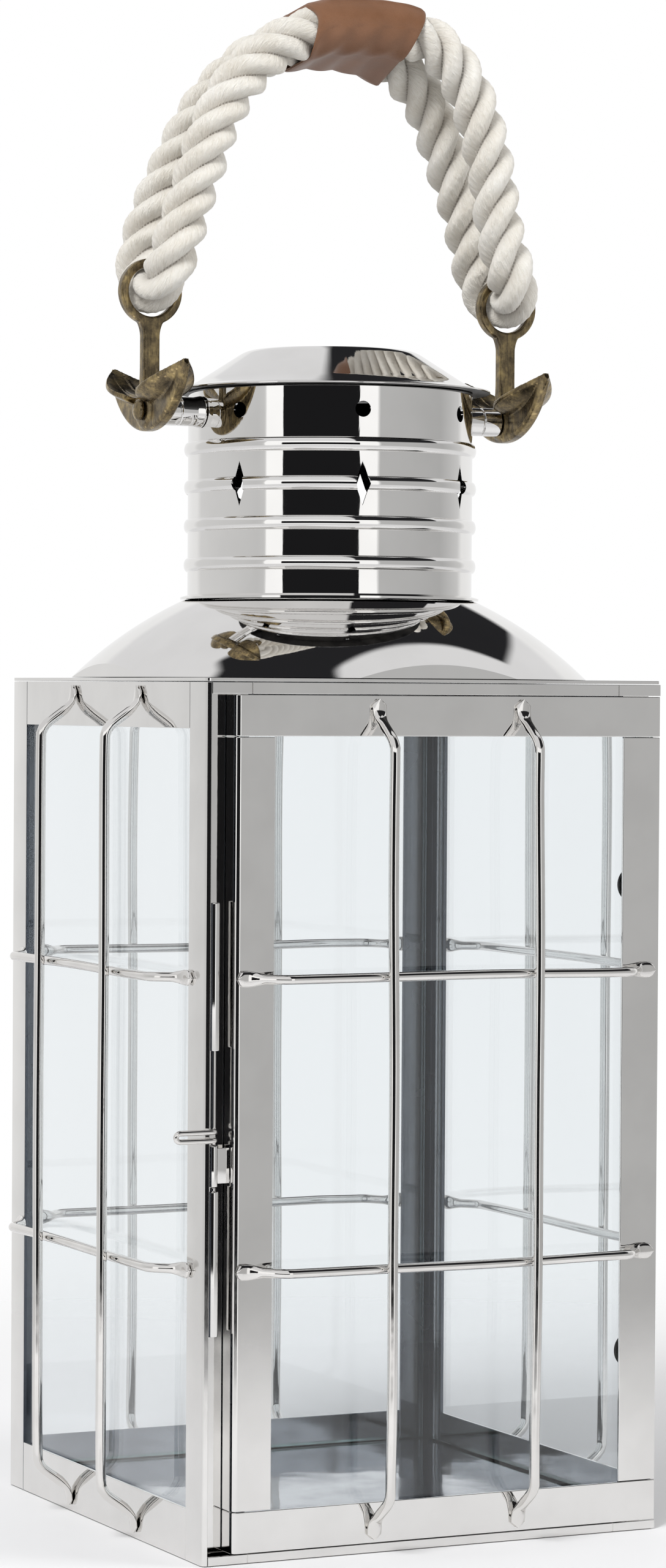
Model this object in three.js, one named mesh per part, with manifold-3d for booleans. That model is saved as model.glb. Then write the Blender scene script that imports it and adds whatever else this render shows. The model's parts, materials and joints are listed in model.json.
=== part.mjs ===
// Hanging lantern: a square glazed case with a hinged front door, a spun roof with a vented chimney,
// wire guards on all four faces and a rope handle that swings on two anchor-shaped hangers.
// Units are millimetres. +Z is up, the door faces -Y, and the origin is the centre of the base.

import * as THREE from "three";
import { mergeVertices } from "three/addons/utils/BufferGeometryUtils.js";
import { ConvexGeometry } from "three/addons/geometries/ConvexGeometry.js";
import Module from "manifold-3d";

const wasm = await Module();
wasm.setup();

// ---- driving dimensions -------------------------------------------------------------------------

const HALF = 100; // half the width of the square case
const SHEET = 1.5; // posts
const THIN = 1.2; // rails, lips, roof
const GAP = 0.3; // between pieces that touch
const FRAME_TOP = 339.7; // top of the posts and rails
const POST_LEG = 16;
const POST_RETURN = 2.2; // width of the front left post beside the latch's recess
const POST_Z = [0, FRAME_TOP];
const JAMB_TIP = -78; // inner edge of the jamb
const CORNER_R = 2; // rounded vertical corners
const LIP = 12; // folded lip of a rail
const TOP_RAIL_H = 18;
const BOTTOM_RAIL_H = 20;
const GLASS_T = 3;
const GLASS_Z = [8, 332];
const PANE_BACK = HALF - SHEET - GAP - GLASS_T; // inside face of a fixed pane

const DOOR_X = [-87.6, 99.7];
const DOOR_Z = [3.7, 334.9];
const DOOR_T = 9.2; // depth of the door frame
const DOOR_RAIL_H = 16;
const DOOR_STILE_W = 16.6;
const DOOR_BACK = -HALF + DOOR_T;
const JAMB_Y = DOOR_BACK + 0.6; // front of the stop that the door closes against
const SEAM_X = 80.7; // lap seams of the strips above and below the door
const SEAM = 0.4;

const WIRE_V = 2.2; // radius of the upright guard wires
const WIRE_H = 2.0; // radius of the level guard wires
const STAND_V = 15.5; // how far the wires stand off the face they guard
const STAND_H = STAND_V - WIRE_V - WIRE_H - GAP;
const FOOT_V = [7, 11]; // flat foot and slant at each end of an upright
const FOOT_H = [8, 9]; // the same for a level wire
const GUARD_Z = [112.5, 225.5];
const GUARD_PITCH = 66.8; // between the two uprights of a fixed face
const GUARD_SHIFT = -2.6;
const DOOR_PITCH = 63.6;

const ROOF_Z = [340, 341.3];
const ROOF_HOLE_R = 90;
const DOME_ARC_R = 165.2; // the dome's section is one arc
const DOME_ARC_CENTRE = [-10.3, 224]; // r and z
const DOME_R = [60.2, 105.8]; // at the neck and at the foot
const DOME_Z = 341.6;

const CHIMNEY_R = 58.5;
const CHIMNEY_T = 1;
const CHIMNEY_Z = [373.7, 458.5];
const FLANGE_R = 61.4;
const BEADS = [387.8, 403.8, 419.6, 435.2];
const BEAD_H = 1.6;
const VENTS = 7; // equally spaced, one of them on +X
const VENT_Z = 449.1;
const VENT_R = 3.2;
const DIAMOND = [6.2, 18]; // width and height
const CAP_R = 66;

const PIVOT_Z = 449.3; // the handle's axis, parallel to X
const LUG_R = 5.85;
const LUG_END = 77.1;
const SCREW_R = 2.4;
const SCREW_HEAD_R = 4.3;
const SCREW_END = 66; // inner end of the screw, inside the lug
const ANCHOR_X = 81.2;
const SHANK_W = 7.6;
const SHANK_T = 4.8;
const RING_Z = 497;
const RING_R = [10, 13.4];
const CROWN_R = 8.6;
const ARM_REACH = 36.5;
const ARM_RISE = 17.3;
const PALM_W = 23;

const ROPE_R = 9;
const GRIP_X = [-16.5, 35.4];
const GRIP_T = 1.6;
const GRIP_EASE = 1; // between the rope and the leather
const GRIP_STATIONS = 6;

const LATCH = [-95.2, -97.4]; // x and y of the latch's axis
const PIN_R = 1.1;
const BARREL_R = 2.3;
const CATCH_R = 1.85;
const BORE_R = 1.5;
const UPPER_BARREL = [198.1, 254.9];
const LOWER_BARREL = [88, 143.9];
const CATCH_Z = [145.8, 161.4];
const PIN_Z = [161.9, 252];
const LOOP_Z = [163.9, 167.2];
const LOOP_TIP = [-112.7, -101.7];

const HINGE = [102.05, -90.5]; // x and y of the door's axis
const HINGE_Z = [75, 262];
const HINGE_H = 32;
const KNUCKLE_R = 1.9;
const LEAF_T = 0.8;
const LEAF_GAP = 2.2; // from the door's axis to a leaf
const DOOR_LEAF_W = 5.7;
const FRAME_LEAF_W = 12;
const WEB_W = 2.4;
const HINGE_EASE = 0.35; // round the hinge pin
const HINGE_PIN_R = 0.9;

const BUTTON_R = 7.3;
const BUTTON_X = 90.6;
const BUTTON_Z = [72, 259.5];

// The rope's centre line: right front strand, right ring, rear strand, left ring, left front strand.
const ROPE_ROUTE = [
  [12, -9.4, 608], [27, -9.5, 607.4], [41.5, -9.9, 603.4], [51.5, -10.5, 594], [58.6, -11.2, 582],
  [63.6, -12.1, 567.5], [67, -13, 552.5], [69.2, -14, 536.5], [71.8, -14.9, 521.5], [75.6, -15.2, 509.5],
  [79.4, -10.8, 500.6], [81.2, 0, 497.3], [79.8, 10.8, 500.6],
  [76.6, 15.2, 509.5], [72.8, 14.9, 523.5], [68.3, 14, 538.5], [62.6, 13, 552], [57, 11.9, 565],
  [51, 10.8, 577.5], [43, 10, 588.5], [31.5, 9.5, 597.5], [16, 9.4, 603], [0, 9.4, 604],
  [-16, 9.5, 602.2], [-31, 9.9, 595.5], [-44, 10.6, 584.5], [-55.5, 11.4, 569.5], [-65, 12.6, 551],
  [-73, 14, 532], [-78.2, 15.1, 514.5],
  [-80.8, 10.8, 500.8], [-81.2, 0, 497.3], [-80.4, -10.8, 500.6],
  [-77.6, -15.1, 511.5], [-71.4, -14.2, 529], [-64.6, -12.9, 547.5], [-57, -11.6, 567],
  [-45.5, -10.4, 584.5],
  [-29, -9.7, 598.5], [-9, -9.4, 606.4], [11.2, -9.4, 608],
];

// ---- materials ----------------------------------------------------------------------------------

function finish(color, metalness, roughness) {
  return new THREE.MeshStandardMaterial({ color, metalness, roughness });
}
const polished = finish(0xd8d8d6, 1, 0.08);
const brass = finish(0x5c4c31, 1, 0.42);
const cotton = finish(0xece6da, 0, 0.95);
const leather = finish(0x8a5c43, 0, 0.5);
const rubber = finish(0x1c1c1e, 0, 0.5);
const glass = new THREE.MeshStandardMaterial({
  color: 0xdfe9ee, metalness: 0, roughness: 0.03, transparent: true, opacity: 0.35,
});

// ---- shape helpers ------------------------------------------------------------------------------

function solid(geometry) {
  const g = geometry.clone();
  g.deleteAttribute("normal");
  g.deleteAttribute("uv");
  const merged = mergeVertices(g, 1e-3);
  const vertProperties = new Float32Array(merged.attributes.position.array);
  const triVerts = new Uint32Array(merged.index.array);
  return new wasm.Manifold(new wasm.Mesh({ numProp: 3, vertProperties, triVerts }));
}

function geometryOf(manifold) {
  const mesh = manifold.getMesh();
  const g = new THREE.BufferGeometry();
  g.setAttribute("position", new THREE.BufferAttribute(new Float32Array(mesh.vertProperties), 3));
  g.setIndex(new THREE.BufferAttribute(new Uint32Array(mesh.triVerts), 1));
  g.computeVertexNormals();
  return g;
}

const join = (first, ...rest) => geometryOf(rest.reduce((sum, g) => sum.add(solid(g)), solid(first)));
const cut = (first, ...rest) => geometryOf(rest.reduce((sum, g) => sum.subtract(solid(g)), solid(first)));

function box([x0, x1], [y0, y1], [z0, z1]) {
  const g = new THREE.BoxGeometry(x1 - x0, y1 - y0, z1 - z0);
  return g.translate((x0 + x1) / 2, (y0 + y1) / 2, (z0 + z1) / 2);
}

// A prism on an outline of [x, y] points, from z0 to z1.
function prism(outline, [z0, z1]) {
  const shape = new THREE.Shape(outline.map(([x, y]) => new THREE.Vector2(x, y)));
  return new THREE.ExtrudeGeometry(shape, { depth: z1 - z0, bevelEnabled: false }).translate(0, 0, z0);
}

// A turned solid about Z from a profile of [r, z] points.
function turned(profile, segments) {
  const points = profile.map(([r, z]) => new THREE.Vector2(r, z));
  return new THREE.LatheGeometry(points, segments).rotateX(Math.PI / 2);
}

function rod(radius, [z0, z1], segments) {
  return new THREE.CylinderGeometry(radius, radius, z1 - z0, segments)
    .rotateX(Math.PI / 2)
    .translate(0, 0, (z0 + z1) / 2);
}

// A curve through points that a sweep samples exactly at those points.
class Route extends THREE.Curve {
  constructor(points) {
    super();
    this.points = points;
  }
  getPoint(t, target = new THREE.Vector3()) {
    const at = t * (this.points.length - 1);
    const i = Math.min(Math.floor(at), this.points.length - 2);
    return target.lerpVectors(this.points[i], this.points[i + 1], at - i);
  }
  getPointAt(t, target) {
    return this.getPoint(t, target);
  }
  getTangentAt(t, target = new THREE.Vector3()) {
    const i = Math.round(t * (this.points.length - 1));
    const here = this.points[i];
    const back = this.points[Math.max(i - 1, 0)];
    const ahead = this.points[Math.min(i + 1, this.points.length - 1)];
    const came = new THREE.Vector3().subVectors(here, back).normalize();
    const goes = new THREE.Vector3().subVectors(ahead, here).normalize();
    return target.addVectors(came, goes).normalize();
  }
}

function ring(radius, segments, phase = 0) {
  const points = [];
  for (let i = 0; i < segments; i++) {
    const a = phase + (2 * Math.PI * i) / segments;
    points.push(new THREE.Vector2(radius * Math.cos(a), radius * Math.sin(a)));
  }
  return points;
}

function sweep(points, radius, sides) {
  const section = new THREE.Shape(ring(radius, sides, Math.PI / sides));
  const options = { steps: points.length - 1, bevelEnabled: false, extrudePath: new Route(points) };
  return new THREE.ExtrudeGeometry(section, options);
}

// ---- the case -----------------------------------------------------------------------------------

// The outline of a corner post at +X +Y: two legs and a rounded outer corner.
function angleOutline(legX, legY, thickness) {
  const outer = HALF;
  const inner = HALF - thickness;
  const arc = [];
  for (let i = 0; i <= 2; i++) {
    const a = (i * Math.PI) / 4;
    arc.push([outer - CORNER_R + CORNER_R * Math.cos(a), outer - CORNER_R + CORNER_R * Math.sin(a)]);
  }
  return [[outer, outer - legY], ...arc, [outer - legX, outer], [outer - legX, inner], [inner, inner],
    [inner, outer - legY]];
}

function mirrored(outline, signX, signY) {
  const out = outline.map(([x, y]) => [x * signX, y * signY]);
  return signX * signY < 0 ? out.reverse() : out;
}

const rearPost = (signX) => prism(mirrored(angleOutline(POST_LEG, POST_LEG, SHEET), signX, 1), POST_Z);

// The front left post ends in a narrow return beside the door, and leaves a recess for the latch.
const frontLeftPost = () => prism(mirrored(angleOutline(POST_RETURN, POST_LEG, SHEET), -1, -1), POST_Z);

const leftJamb = () => box([-HALF + SHEET + GAP, JAMB_TIP], [JAMB_Y, JAMB_Y + THIN], POST_Z);

// The front right post stands behind the door's edge, which closes over it.
function frontRightPost() {
  const front = JAMB_Y;
  const inner = HALF - SHEET;
  const back = front + POST_LEG;
  const tip = HALF - LIP;
  return prism([[HALF, front], [HALF, back], [inner, back], [inner, front + THIN],
    [tip, front + THIN], [tip, front]], POST_Z);
}

// A rail of the left, right or rear face: a face strip with a lip folded inwards at one edge.
function sideRail(span, [z0, z1], lipAtTop) {
  const lipZ = lipAtTop ? [z1 - THIN, z1] : [z0, z0 + THIN];
  return join(
    box(span, [HALF - THIN, HALF], [z0, z1]),
    box(span, [HALF - LIP, HALF - THIN / 2], lipZ),
  );
}

const TURN = { rear: 0, left: Math.PI / 2, right: -Math.PI / 2, front: Math.PI };

// The strip above or below the door, with the two lap seams. It starts beside the front left post, and
// its lip stops at the jamb.
function frontStrip([z0, z1], lipAtTop) {
  const span = [-HALF + POST_RETURN + GAP, HALF - GAP / 2];
  const lipZ = lipAtTop ? [z1 - THIN, z1] : [z0, z0 + THIN];
  const strip = join(
    box(span, [-HALF, -HALF + THIN], [z0, z1]),
    box(span, [-HALF + THIN / 2, JAMB_Y - GAP], lipZ),
  );
  const seams = [-1, 1].map((side) => {
    const x = side * SEAM_X;
    return box([x - SEAM / 2, x + SEAM / 2], [-HALF - 1, -HALF + SEAM], [z0 - 1, z1 + 1]);
  });
  return cut(strip, ...seams);
}

// The candle floor, an upturned pan whose front edge stops behind the door.
function floorTray() {
  const half = PANE_BACK - GAP;
  const front = JAMB_Y + THIN + GAP;
  const z = [THIN + GAP, 7.2];
  return cut(
    box([-half, half], [front, half], z),
    box([-half + THIN, half - THIN], [front + THIN, half - THIN], [z[0] - 1, z[1] - THIN]),
  );
}

const pane = (half) => box([-half, half], [PANE_BACK, PANE_BACK + GLASS_T], GLASS_Z);

// ---- wire guards --------------------------------------------------------------------------------

// Stations [along, stand-off] of a wire whose ends are bent in onto the frame.
function guardStations([low, high], [foot, slant], radius, standOff) {
  const rest = radius + GAP;
  const bend = 2.5;
  const half = [
    [low, rest],
    [low + foot - bend, rest],
    [low + foot + bend / 2, rest + bend / 2],
    [low + foot + slant - bend, standOff - bend],
    [low + foot + slant, standOff - bend / 3],
    [low + foot + slant + bend, standOff],
  ];
  const other = half.map(([s, o]) => [low + high - s, o]).reverse();
  return [...half, ...other];
}

// Both are made for the rear face, where the stand-off is along +Y.
function uprightWire(x, span) {
  const stations = guardStations(span, FOOT_V, WIRE_V, STAND_V);
  return sweep(stations.map(([z, off]) => new THREE.Vector3(x, HALF + off, z)), WIRE_V, 8);
}

function levelWire(z, span) {
  const stations = guardStations(span, FOOT_H, WIRE_H, STAND_H);
  return sweep(stations.map(([x, off]) => new THREE.Vector3(x, HALF + off, z)), WIRE_H, 8);
}

function guards(face, shift, pitch, spanX, spanZ) {
  const group = new THREE.Group();
  group.rotation.z = TURN[face];
  const names = ["a", "b"];
  names.forEach((letter, i) => {
    const x = shift + (i - 0.5) * pitch;
    group.add(named(`guard_upright_${face}_${letter}`, uprightWire(x, spanZ), polished));
  });
  ["lower", "upper"].forEach((level, i) => {
    group.add(named(`guard_level_${face}_${level}`, levelWire(GUARD_Z[i], spanX), polished));
  });
  return group;
}

// ---- roof, chimney and cap ----------------------------------------------------------------------

function roofPlate() {
  const outline = [];
  for (let quarter = 0; quarter < 4; quarter++) {
    const centre = HALF - CORNER_R;
    const [sx, sy] = [[1, 1], [-1, 1], [-1, -1], [1, -1]][quarter];
    for (let i = 0; i <= 2; i++) {
      const a = (quarter * Math.PI) / 2 + (i * Math.PI) / 4;
      outline.push([sx * centre + CORNER_R * Math.cos(a), sy * centre + CORNER_R * Math.sin(a)]);
    }
  }
  const shape = new THREE.Shape(outline.map(([x, y]) => new THREE.Vector2(x, y)));
  shape.holes.push(new THREE.Path(ring(ROOF_HOLE_R, 40)));
  const depth = ROOF_Z[1] - ROOF_Z[0];
  return new THREE.ExtrudeGeometry(shape, { depth, bevelEnabled: false }).translate(0, 0, ROOF_Z[0]);
}

// The filled dome, shrunk by an offset, from the foot at z to above the neck.
function domeFill(offset, z) {
  const [rc, zc] = DOME_ARC_CENTRE;
  const radius = DOME_ARC_R - offset;
  const steps = 7;
  const profile = [[0, z], [DOME_R[1] - offset, z]];
  const from = Math.asin((DOME_R[1] - offset - rc) / radius);
  const to = Math.asin((DOME_R[0] - rc) / radius);
  for (let i = 0; i <= steps; i++) {
    const a = from + ((to - from) * i) / steps;
    const height = zc + radius * Math.cos(a);
    if (height > z + 0.05) profile.push([rc + radius * Math.sin(a), height]);
  }
  profile.push([0, profile.at(-1)[1]]);
  return turned(profile, 40);
}

// The dome is wider than the case, and its foot is cut off flush with the four faces.
function dome() {
  const high = [0, 500];
  const outerBox = solid(box([-HALF, HALF], [-HALF, HALF], high));
  const innerHalf = HALF - THIN;
  const innerBox = solid(box([-innerHalf, innerHalf], [-innerHalf, innerHalf], high));
  const outer = solid(domeFill(0, DOME_Z)).intersect(outerBox);
  const inner = solid(domeFill(THIN, DOME_Z - 1)).intersect(innerBox);
  const neck = solid(rod(DOME_R[0] - THIN, [DOME_Z, high[1]], 40));
  return geometryOf(outer.subtract(inner).subtract(neck));
}

function chimneyProfile() {
  const outer = [[FLANGE_R, CHIMNEY_Z[0]], [FLANGE_R, CHIMNEY_Z[0] + 0.9], [CHIMNEY_R, CHIMNEY_Z[0] + 1.7]];
  for (const z of BEADS) {
    outer.push([CHIMNEY_R, z - 2.6], [CHIMNEY_R + BEAD_H, z - 0.9], [CHIMNEY_R + BEAD_H, z + 0.9],
      [CHIMNEY_R, z + 2.6]);
  }
  const inner = CHIMNEY_R - CHIMNEY_T;
  outer.push([CHIMNEY_R, CHIMNEY_Z[1]], [inner, CHIMNEY_Z[1]], [inner, CHIMNEY_Z[0]], outer[0]);
  return outer;
}

function chimney() {
  const [width, height] = DIAMOND;
  const diamond = [[0, -height / 2], [width / 2, 0], [0, height / 2], [-width / 2, 0]];
  const cutters = [];
  for (let i = 0; i < VENTS; i++) {
    const angle = (2 * Math.PI * i) / VENTS;
    const reach = [CHIMNEY_R - 5, CHIMNEY_R + 5];
    // Both cutters are made along +Z and turned to point out along +X.
    const slot = prism(diamond.map(([a, b]) => [-b, a]), reach).rotateY(Math.PI / 2);
    cutters.push(slot.translate(0, 0, BEADS[2]).rotateZ(angle));
    const drill = rod(VENT_R, reach, 12).rotateY(Math.PI / 2).translate(0, 0, VENT_Z);
    if (i > 0) cutters.push(drill.rotateZ(angle));
  }
  return cut(turned(chimneyProfile(), 42), ...cutters);
}

function chimneyCap() {
  const rim = CHIMNEY_Z[1] + GAP;
  return turned([[0, rim + 17.2], [24, rim + 17.6], [32, rim + 17.9], [33.5, rim + 17.5], [36, rim + 16.6],
    [54, rim + 5.6], [60, rim + 2.6], [CAP_R, rim + 0.9], [CAP_R, rim], [57, rim], [53.4, rim + 4.4],
    [35.4, rim + 15.4], [32, rim + 16.6], [0, rim + 16]].reverse(), 42);
}

// ---- handle pivots ------------------------------------------------------------------------------

// Pieces of the right side; the left side is a half turn about Z.
function lug() {
  const tube = rod(LUG_R, [CHIMNEY_R - 4, LUG_END], 20).rotateY(Math.PI / 2).translate(0, 0, PIVOT_Z);
  const saddle = rod(CHIMNEY_R + GAP, [PIVOT_Z - 20, PIVOT_Z + 20], 84);
  const bore = rod(SCREW_R + GAP + 0.1, [65, LUG_END + 1], 16).rotateY(Math.PI / 2).translate(0, 0, PIVOT_Z);
  return cut(tube, saddle, bore);
}

function pivotScrew() {
  const seat = ANCHOR_X + SHANK_W / 2 + GAP;
  const profile = [[0, SCREW_END], [SCREW_R, SCREW_END], [SCREW_R, seat], [SCREW_HEAD_R, seat],
    [SCREW_HEAD_R - 0.3, seat + 1.2],
    [SCREW_HEAD_R * 0.65, seat + 2.3], [0, seat + 2.8]];
  return turned(profile, 16).rotateY(Math.PI / 2).translate(0, 0, PIVOT_Z);
}

// ---- anchor hangers -----------------------------------------------------------------------------

// Made about the pivot: X is the pivot's axis, Z is up the shank, and the arms reach along Y.
function anchorArms() {
  const outerRise = ARM_RISE + CROWN_R;
  const outerR = (ARM_REACH ** 2 + outerRise ** 2) / (2 * outerRise);
  const innerFoot = 6;
  const innerRise = ARM_RISE + 0.6 - innerFoot;
  const innerR = (ARM_REACH ** 2 + innerRise ** 2) / (2 * innerRise);
  const arc = (radius, foot, steps) => {
    const half = Math.asin(ARM_REACH / radius);
    return Array.from({ length: steps + 1 }, (_, i) => {
      const a = -half + (2 * half * i) / steps;
      return [radius * Math.sin(a), foot + radius * (1 - Math.cos(a))];
    });
  };
  const outline = [...arc(outerR, -CROWN_R, 12), ...arc(innerR, innerFoot, 8).reverse()];
  // The prism's x, y, z become Y, Z, X.
  const turn = new THREE.Matrix4().set(0, 0, 1, 0, 1, 0, 0, 0, 0, 1, 0, 0, 0, 0, 0, 1);
  return prism(outline, [-2.6, 2.6]).applyMatrix4(turn);
}

// One leaf-shaped palm at the end of the arm on the side of `sign` along Y.
function anchorPalm(sign) {
  const from = [8, 5.6];
  const to = [ARM_REACH, ARM_RISE];
  const length = Math.hypot(to[0] - from[0], to[1] - from[1]);
  const w = PALM_W / 2;
  const leaf = [[-3, 0], [-4.5, 2], [-w, length * 0.36], [-w, length * 0.5], [-w * 0.7, length * 0.8],
    [-2.4, length], [2.4, length], [w * 0.7, length * 0.8], [w, length * 0.5], [w, length * 0.36], [4.5, 2],
    [3, 0]].reverse();
  const slope = Math.atan2(to[1] - from[1], to[0] - from[0]);
  const plate = prism(leaf, [-1.2, 1.2]).rotateX(slope).translate(0, from[0], from[1]);
  return sign > 0 ? plate : plate.rotateZ(Math.PI);
}

function anchor() {
  const ringZ = RING_Z - PIVOT_Z;
  const disc = new THREE.Shape(ring(RING_R[1], 28));
  disc.holes.push(new THREE.Path(ring(RING_R[0], 28)));
  const eye = new THREE.ExtrudeGeometry(disc, { depth: SHANK_T, bevelEnabled: false })
    .translate(0, 0, -SHANK_T / 2)
    .rotateX(Math.PI / 2)
    .translate(0, 0, ringZ);
  const half = SHANK_W / 2;
  const shank = box([-half, half], [-SHANK_T / 2, SHANK_T / 2], [0, ringZ - RING_R[0] - 1]);
  const boss = rod(CROWN_R - 1.6, [-half, half], 16).rotateY(Math.PI / 2);
  const bore = rod(SCREW_R + 0.5, [-half - 1, half + 1], 16).rotateY(Math.PI / 2);
  const casting = join(eye, shank, boss, anchorArms(), anchorPalm(1), anchorPalm(-1));
  return cut(casting, bore).translate(0, 0, PIVOT_Z);
}

// ---- rope and grip ------------------------------------------------------------------------------

const ropeCurve = () =>
  new THREE.CatmullRomCurve3(ROPE_ROUTE.map((p) => new THREE.Vector3(...p)), false, "centripetal");

const rope = () => sweep(ropeCurve().getSpacedPoints(78), ROPE_R, 10);

// The leather sleeve is wrapped round both strands: hulls round the rope, station by station, less the
// hulls of its inside. A section is upright, so it is stretched where the rope slopes.
function grip() {
  const samples = ropeCurve().getSpacedPoints(600);
  const strandAt = (x, side) => {
    const near = (p) => (Math.sign(p.y) === side && p.z > 575 ? Math.abs(p.x - x) : Infinity);
    return samples.reduce((best, p, i) => (near(p) < near(samples[best]) ? i : best), 0);
  };
  const sectionAt = (x, radius) => [-1, 1].flatMap((side) => {
    const i = strandAt(x, side);
    const [from, to] = [Math.max(i - 2, 0), Math.min(i + 2, samples.length - 1)];
    const along = new THREE.Vector3().subVectors(samples[to], samples[from]).normalize();
    const height = 1 / Math.abs(along.x);
    const { y, z } = samples[i];
    return ring(radius, 14).map((p) => new THREE.Vector3(x, y + p.x, z + p.y * height));
  });
  const sleeve = (radius, overhang) => {
    const [from, to] = [GRIP_X[0] - overhang, GRIP_X[1] + overhang];
    const xs = Array.from({ length: GRIP_STATIONS + 1 }, (_, i) => from + ((to - from) * i) / GRIP_STATIONS);
    const hulls = xs.slice(1).map((x, i) => [...sectionAt(xs[i], radius), ...sectionAt(x, radius)]);
    return hulls.map((points) => solid(new ConvexGeometry(points))).reduce((sum, hull) => sum.add(hull));
  };
  return geometryOf(sleeve(ROPE_R + GRIP_EASE + GRIP_T, 0).subtract(sleeve(ROPE_R + GRIP_EASE, 1)));
}

// ---- door ---------------------------------------------------------------------------------------

// A top or bottom rail: a folded channel that is open at the back and towards the glass.
function doorRail([z0, z1], openDown) {
  const inside = openDown ? [z0 - 1, z1 - THIN] : [z0 + THIN, z1 + 1];
  return cut(
    box(DOOR_X, [-HALF, DOOR_BACK], [z0, z1]),
    box([DOOR_X[0] + THIN, DOOR_X[1] - THIN], [-HALF + THIN, DOOR_BACK + 1], inside),
  );
}

// A stile between the rails: a face strip with a side folded back.
function doorStile(side) {
  const z = [DOOR_Z[0] + DOOR_RAIL_H + GAP, DOOR_Z[1] - DOOR_RAIL_H - GAP];
  const edge = side < 0 ? DOOR_X[0] : DOOR_X[1];
  const face = [edge, edge - side * DOOR_STILE_W].sort((a, b) => a - b);
  const fold = [edge, edge - side * THIN].sort((a, b) => a - b);
  return join(box(face, [-HALF, -HALF + THIN], z), box(fold, [-HALF + THIN / 2, DOOR_BACK], z));
}

const DOOR_GLASS_Y = -HALF + THIN + GAP;
const insideDoor = ([low, high]) => [low + THIN + 1, high - THIN - 1];
const doorGlass = () => box(insideDoor(DOOR_X), [DOOR_GLASS_Y, DOOR_GLASS_Y + GLASS_T], insideDoor(DOOR_Z));

function glassButton(z) {
  const y = DOOR_GLASS_Y + GLASS_T + GAP;
  const profile = [[0, 0], [BUTTON_R, 0], [BUTTON_R, 1.2], [BUTTON_R * 0.7, 2.6], [0, 3.2]];
  return turned(profile, 20).rotateX(-Math.PI / 2).translate(BUTTON_X, y, z);
}

const leafZ = (z) => [z - HINGE_H / 2, z + HINGE_H / 2];

// The part of a lift-off hinge on the door: a leaf, a web and the upper knuckle with its bore.
function doorHinge(z) {
  const [x, y] = HINGE;
  const face = DOOR_X[1] + GAP;
  const upper = [z + 0.15, z + HINGE_H / 2];
  const knuckle = rod(KNUCKLE_R, upper, 14).translate(x, y, 0);
  const web = box([face, face + LEAF_T], [y - WEB_W, y], upper);
  const leaf = box([face, face + LEAF_T], [y - DOOR_LEAF_W, y - LEAF_GAP], leafZ(z));
  const bore = rod(HINGE_PIN_R + HINGE_EASE, [z - 1, upper[1] + 1], 14).translate(x, y, 0);
  return cut(join(knuckle, web, leaf), bore);
}

// The part on the post: a leaf, a web, the lower knuckle and the pin.
function frameHinge(z) {
  const [x, y] = HINGE;
  const face = HALF + GAP;
  const lower = [z - HINGE_H / 2, z - 0.15];
  const knuckle = rod(KNUCKLE_R, lower, 14).translate(x, y, 0);
  const web = box([face, face + LEAF_T], [y, y + WEB_W], lower);
  const leaf = box([face, face + LEAF_T], [y + LEAF_GAP, y + FRAME_LEAF_W], leafZ(z));
  const pin = rod(HINGE_PIN_R, [z - 4, z + HINGE_H / 2 - 1], 12).translate(x, y, 0);
  return join(knuckle, web, leaf, pin);
}

// ---- latch --------------------------------------------------------------------------------------

// The web that joins a barrel to the inside of the post.
function barrelWeb([z0, z1]) {
  const post = -HALF + SHEET + GAP - LATCH[0];
  return box([post, -BORE_R - 0.3], [-0.7, 0.9], [z0 + 3, z1 - 3]);
}

const upperBarrel = () => cut(
  join(rod(BARREL_R, UPPER_BARREL, 14), barrelWeb(UPPER_BARREL)),
  rod(BORE_R, [UPPER_BARREL[0] - 1, UPPER_BARREL[1] + 1], 12),
).translate(...LATCH, 0);

function lowerBarrel() {
  const [z0, z1] = LOWER_BARREL;
  const profile = [[0, z0], [BARREL_R, z0], [BARREL_R, z1], [PIN_R, z1], [PIN_R, z1 + 1.6], [0, z1 + 1.6]];
  return join(turned(profile, 14), barrelWeb(LOWER_BARREL)).translate(...LATCH, 0);
}

// The keeper on the door's edge, with the tab that carries it.
function latchKeeper() {
  const [x, y] = LATCH;
  const barrel = rod(CATCH_R, CATCH_Z, 12).translate(x, y, 0);
  const tabZ = [CATCH_Z[0] + 2, CATCH_Z[1] - 2];
  const tab = box([x + CATCH_R - 0.4, DOOR_X[0] - GAP], [y - 0.6, y + 0.6], tabZ);
  const bore = rod(PIN_R + 0.3, [CATCH_Z[0] - 1, CATCH_Z[1] + 1], 10).translate(x, y, 0);
  return cut(join(barrel, tab), bore);
}

// The sliding wire and the hairpin that a thumb lifts it by.
function latchPin() {
  const [x, y] = LATCH;
  const [tipX, tipY] = LOOP_TIP;
  const [low, high] = LOOP_Z;
  const mid = (low + high) / 2;
  const half = (high - low) / 2;
  const at = (px, py, pz) => new THREE.Vector3(px, py, pz);
  const out = (z) => [at(x, y, z), at(x, tipY + 2.2, z), at(x - 1.5, tipY + 0.6, z), at(x - 4, tipY, z)];
  const loop = [...out(high), at(tipX + half + 1, tipY, high)];
  for (let i = 1; i < 6; i++) {
    const a = Math.PI / 2 + (Math.PI * i) / 6;
    loop.push(at(tipX + half + half * Math.cos(a), tipY, mid + half * Math.sin(a)));
  }
  loop.push(at(tipX + half + 1, tipY, low), ...out(low).reverse());
  return join(rod(PIN_R, PIN_Z, 10).translate(x, y, 0), sweep(loop, PIN_R, 8));
}

// ---- assembly -----------------------------------------------------------------------------------

function named(name, geometry, material) {
  const mesh = new THREE.Mesh(geometry, material);
  mesh.name = name;
  return mesh;
}

function turnedTo(face, ...meshes) {
  const group = new THREE.Group();
  group.rotation.z = TURN[face];
  group.add(...meshes);
  return group;
}

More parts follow.
